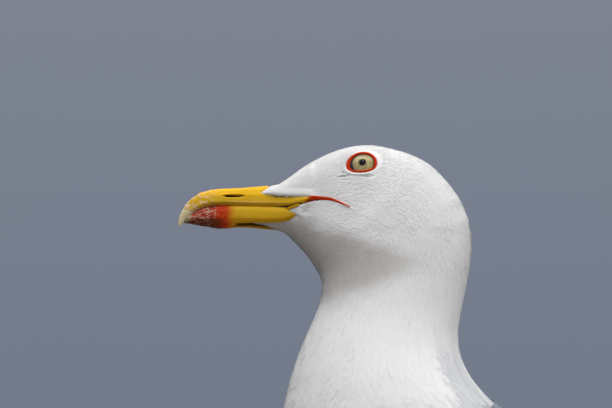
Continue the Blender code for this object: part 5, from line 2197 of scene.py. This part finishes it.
    def dress(self, plumage: Material) -> None:
        """Shows the large feathers of both wings and the tail.

        Args:
            plumage: the feathers' finish.
        """
        for hand, sign in (("L", 1.0), ("R", -1.0)):
            inner = [self.secondary(n, sign) for n in range(self.secondaries)]
            inner += [self.tertial(n, sign) for n in range(len(self.tertials))]
            rows = range(len(self.covert_rows))
            coverts = [self.covert(row, n, sign) for row in rows for n in range(self.coverts_in_row)]
            scapulars = [self.scapular(row, n, sign) for row in rows for n in range(self.scapulars_in_row)]
            black = [self.primary(n, sign) for n in range(len(self.primaries))]
            for name, quills, slot, stands_for in (
                    ("primaries", black, "black_quills", ["wing_primaries_" + hand]),
                    ("inner_quills", inner, "grey_plumage", []),
                    ("wing_coverts", coverts, "grey_plumage", []),
                    ("scapulars", scapulars, "grey_plumage", [])):
                maker = QuillMaker()
                for number, quill in enumerate(quills):
                    maker.add(quill, 100 + number)
                show(f"{name}_{hand}", maker.mesh(name), plumage, stands_for)
        maker = QuillMaker()
        for number in range(self.tail_pairs):
            for sign in (1.0, -1.0):
                maker.add(self.tail_feather(number, sign), 140 + number)
        show("tail_feathers", maker.mesh("tail_feathers"), plumage, ["tail"])


# ---- studio

@dataclass
class Studio:
    """Floor, light and camera."""

    target: Row3 = (-27.93, 0.0, -16.10)
    elevation: float = -17.0
    distance: float = 1.05
    lens: float = 123.53
    sky_low: Colour = (0.155, 0.185, 0.246)
    sky_high: Colour = (0.212, 0.235, 0.292)
    dome: Sequence[tuple[float, Colour]] = (
        (0.62, (0.40, 0.41, 0.43)), (0.82, (1.05, 1.05, 1.05)), (1.0, (1.35, 1.34, 1.32)))

    def build(self) -> None:
        """Sets up the scene round the gull."""
        self.floor()
        self.sky()
        self.lamp("overhead", (0.22, -0.08, 1.20), (0.0, -0.14, 0.36), 0.8, 3.6)
        self.lamp("behind", (0.55, 0.85, 1.05), (0.0, -0.12, 0.34), 0.7, 5.2)
        self.lamp("before", (0.42, -0.72, 1.42), (0.0, -0.12, 0.28), 0.8, 3.1)
        self.lamp("side", (1.25, -0.30, 0.62), (0.0, -0.15, 0.34), 1.0, 1.6)
        self.lamp("glint", (0.66, -0.33, 0.94), (0.0, -0.18, 0.39), 0.06, 0.36)
        self.camera()
        bpy.context.scene.view_settings.view_transform = "Standard"

    def floor(self) -> None:
        """A plain floor."""
        bm = bmesh.new()
        bmesh.ops.create_grid(bm, x_segments=1, y_segments=1, size=4.0)
        mesh = to_mesh(bm, "floor")
        mesh.materials.append(FloorFinish().material())
        in_scene("floor", mesh)

    def sky(self) -> None:
        """A plain blue-grey surround, a little lighter above."""
        world = bpy.data.worlds.new("surround")
        bpy.context.scene.world = world
        world.use_nodes = True
        tree = world.node_tree
        place = tree.nodes.new("ShaderNodeTexCoord")
        parts = tree.nodes.new("ShaderNodeSeparateXYZ")
        tree.links.new(place.outputs["Generated"], parts.inputs[0])
        ramp = tree.nodes.new("ShaderNodeValToRGB")
        ramp.color_ramp.elements[0].position = 0.12
        ramp.color_ramp.elements[0].color = (*self.sky_low, 1.0)
        ramp.color_ramp.elements[1].position = 0.42
        ramp.color_ramp.elements[1].color = (*self.sky_high, 1.0)
        for position, colour in self.dome:
            ramp.color_ramp.elements.new(position).color = (*colour, 1.0)
        tree.links.new(parts.outputs[2], ramp.inputs[0])
        tree.links.new(ramp.outputs[0], tree.nodes["Background"].inputs[0])

    @staticmethod
    def lamp(name: str, place: Row3, aim: Row3, size: float, power: float) -> None:
        """One soft square light.

        Args:
            name: the lamp's name.
            place: where it is, in metres.
            aim: what it looks at.
            size: length of its sides.
            power: watts.
        """
        light = bpy.data.lights.new(name, "AREA")
        light.size = size
        light.energy = power
        obj = in_scene(name, light)
        obj.location = place
        obj.rotation_euler = (Vector(aim) - Vector(place)).to_track_quat("-Z", "Y").to_euler()

    def camera(self) -> None:
        """A long lens from the gull's left, a little under its head."""
        camera = bpy.data.cameras.new("camera")
        camera.sensor_width = 36.0
        camera.lens = self.lens
        camera.clip_start = 0.05
        obj = in_scene("camera", camera)
        rise = math.radians(self.elevation)
        away = Vector((math.cos(rise), 0.0, math.sin(rise)))
        obj.location = at(*self.target) + away * self.distance
        obj.rotation_mode = "QUATERNION"
        obj.rotation_quaternion = (-away).to_track_quat("-Z", "Y")
        bpy.context.scene.camera = obj


def main() -> None:
    """Builds the gull's looks and the studio."""
    logging.basicConfig(level=logging.INFO, format="%(message)s")
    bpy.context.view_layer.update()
    plumage = PlumageFinish().material()
    lie = Lie()
    bill = Bill(FeatherLine())
    bill.build()
    bill.dress(HornFinish().material())
    red = BareSkinFinish("red_skin", (0.66, 0.040, 0.001), (0.27, 0.014, 0.001), (0.76, 0.12, 0.006), 0.5,
                         900.0)
    Eyes().dress(EyeFinish().material(), red.material())
    skin = Skin()
    skin.build(lie, bill)
    skin.dress(plumage)
    corners = MouthCorners()
    solids = join_copies([copy_node(name) for name in ("head", "upper_bill", "lower_bill")])
    corners.dress(BVHTree.FromBMesh(solids), red.mouth())
    Coat(skin, lie, corners).dress(plumage)
    Flight(skin.tree).dress(plumage)
    Legs().dress(LegFinish().material(), ClawFinish().material())
    Studio().build()
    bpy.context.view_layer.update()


if __name__ == "__main__":
    main()
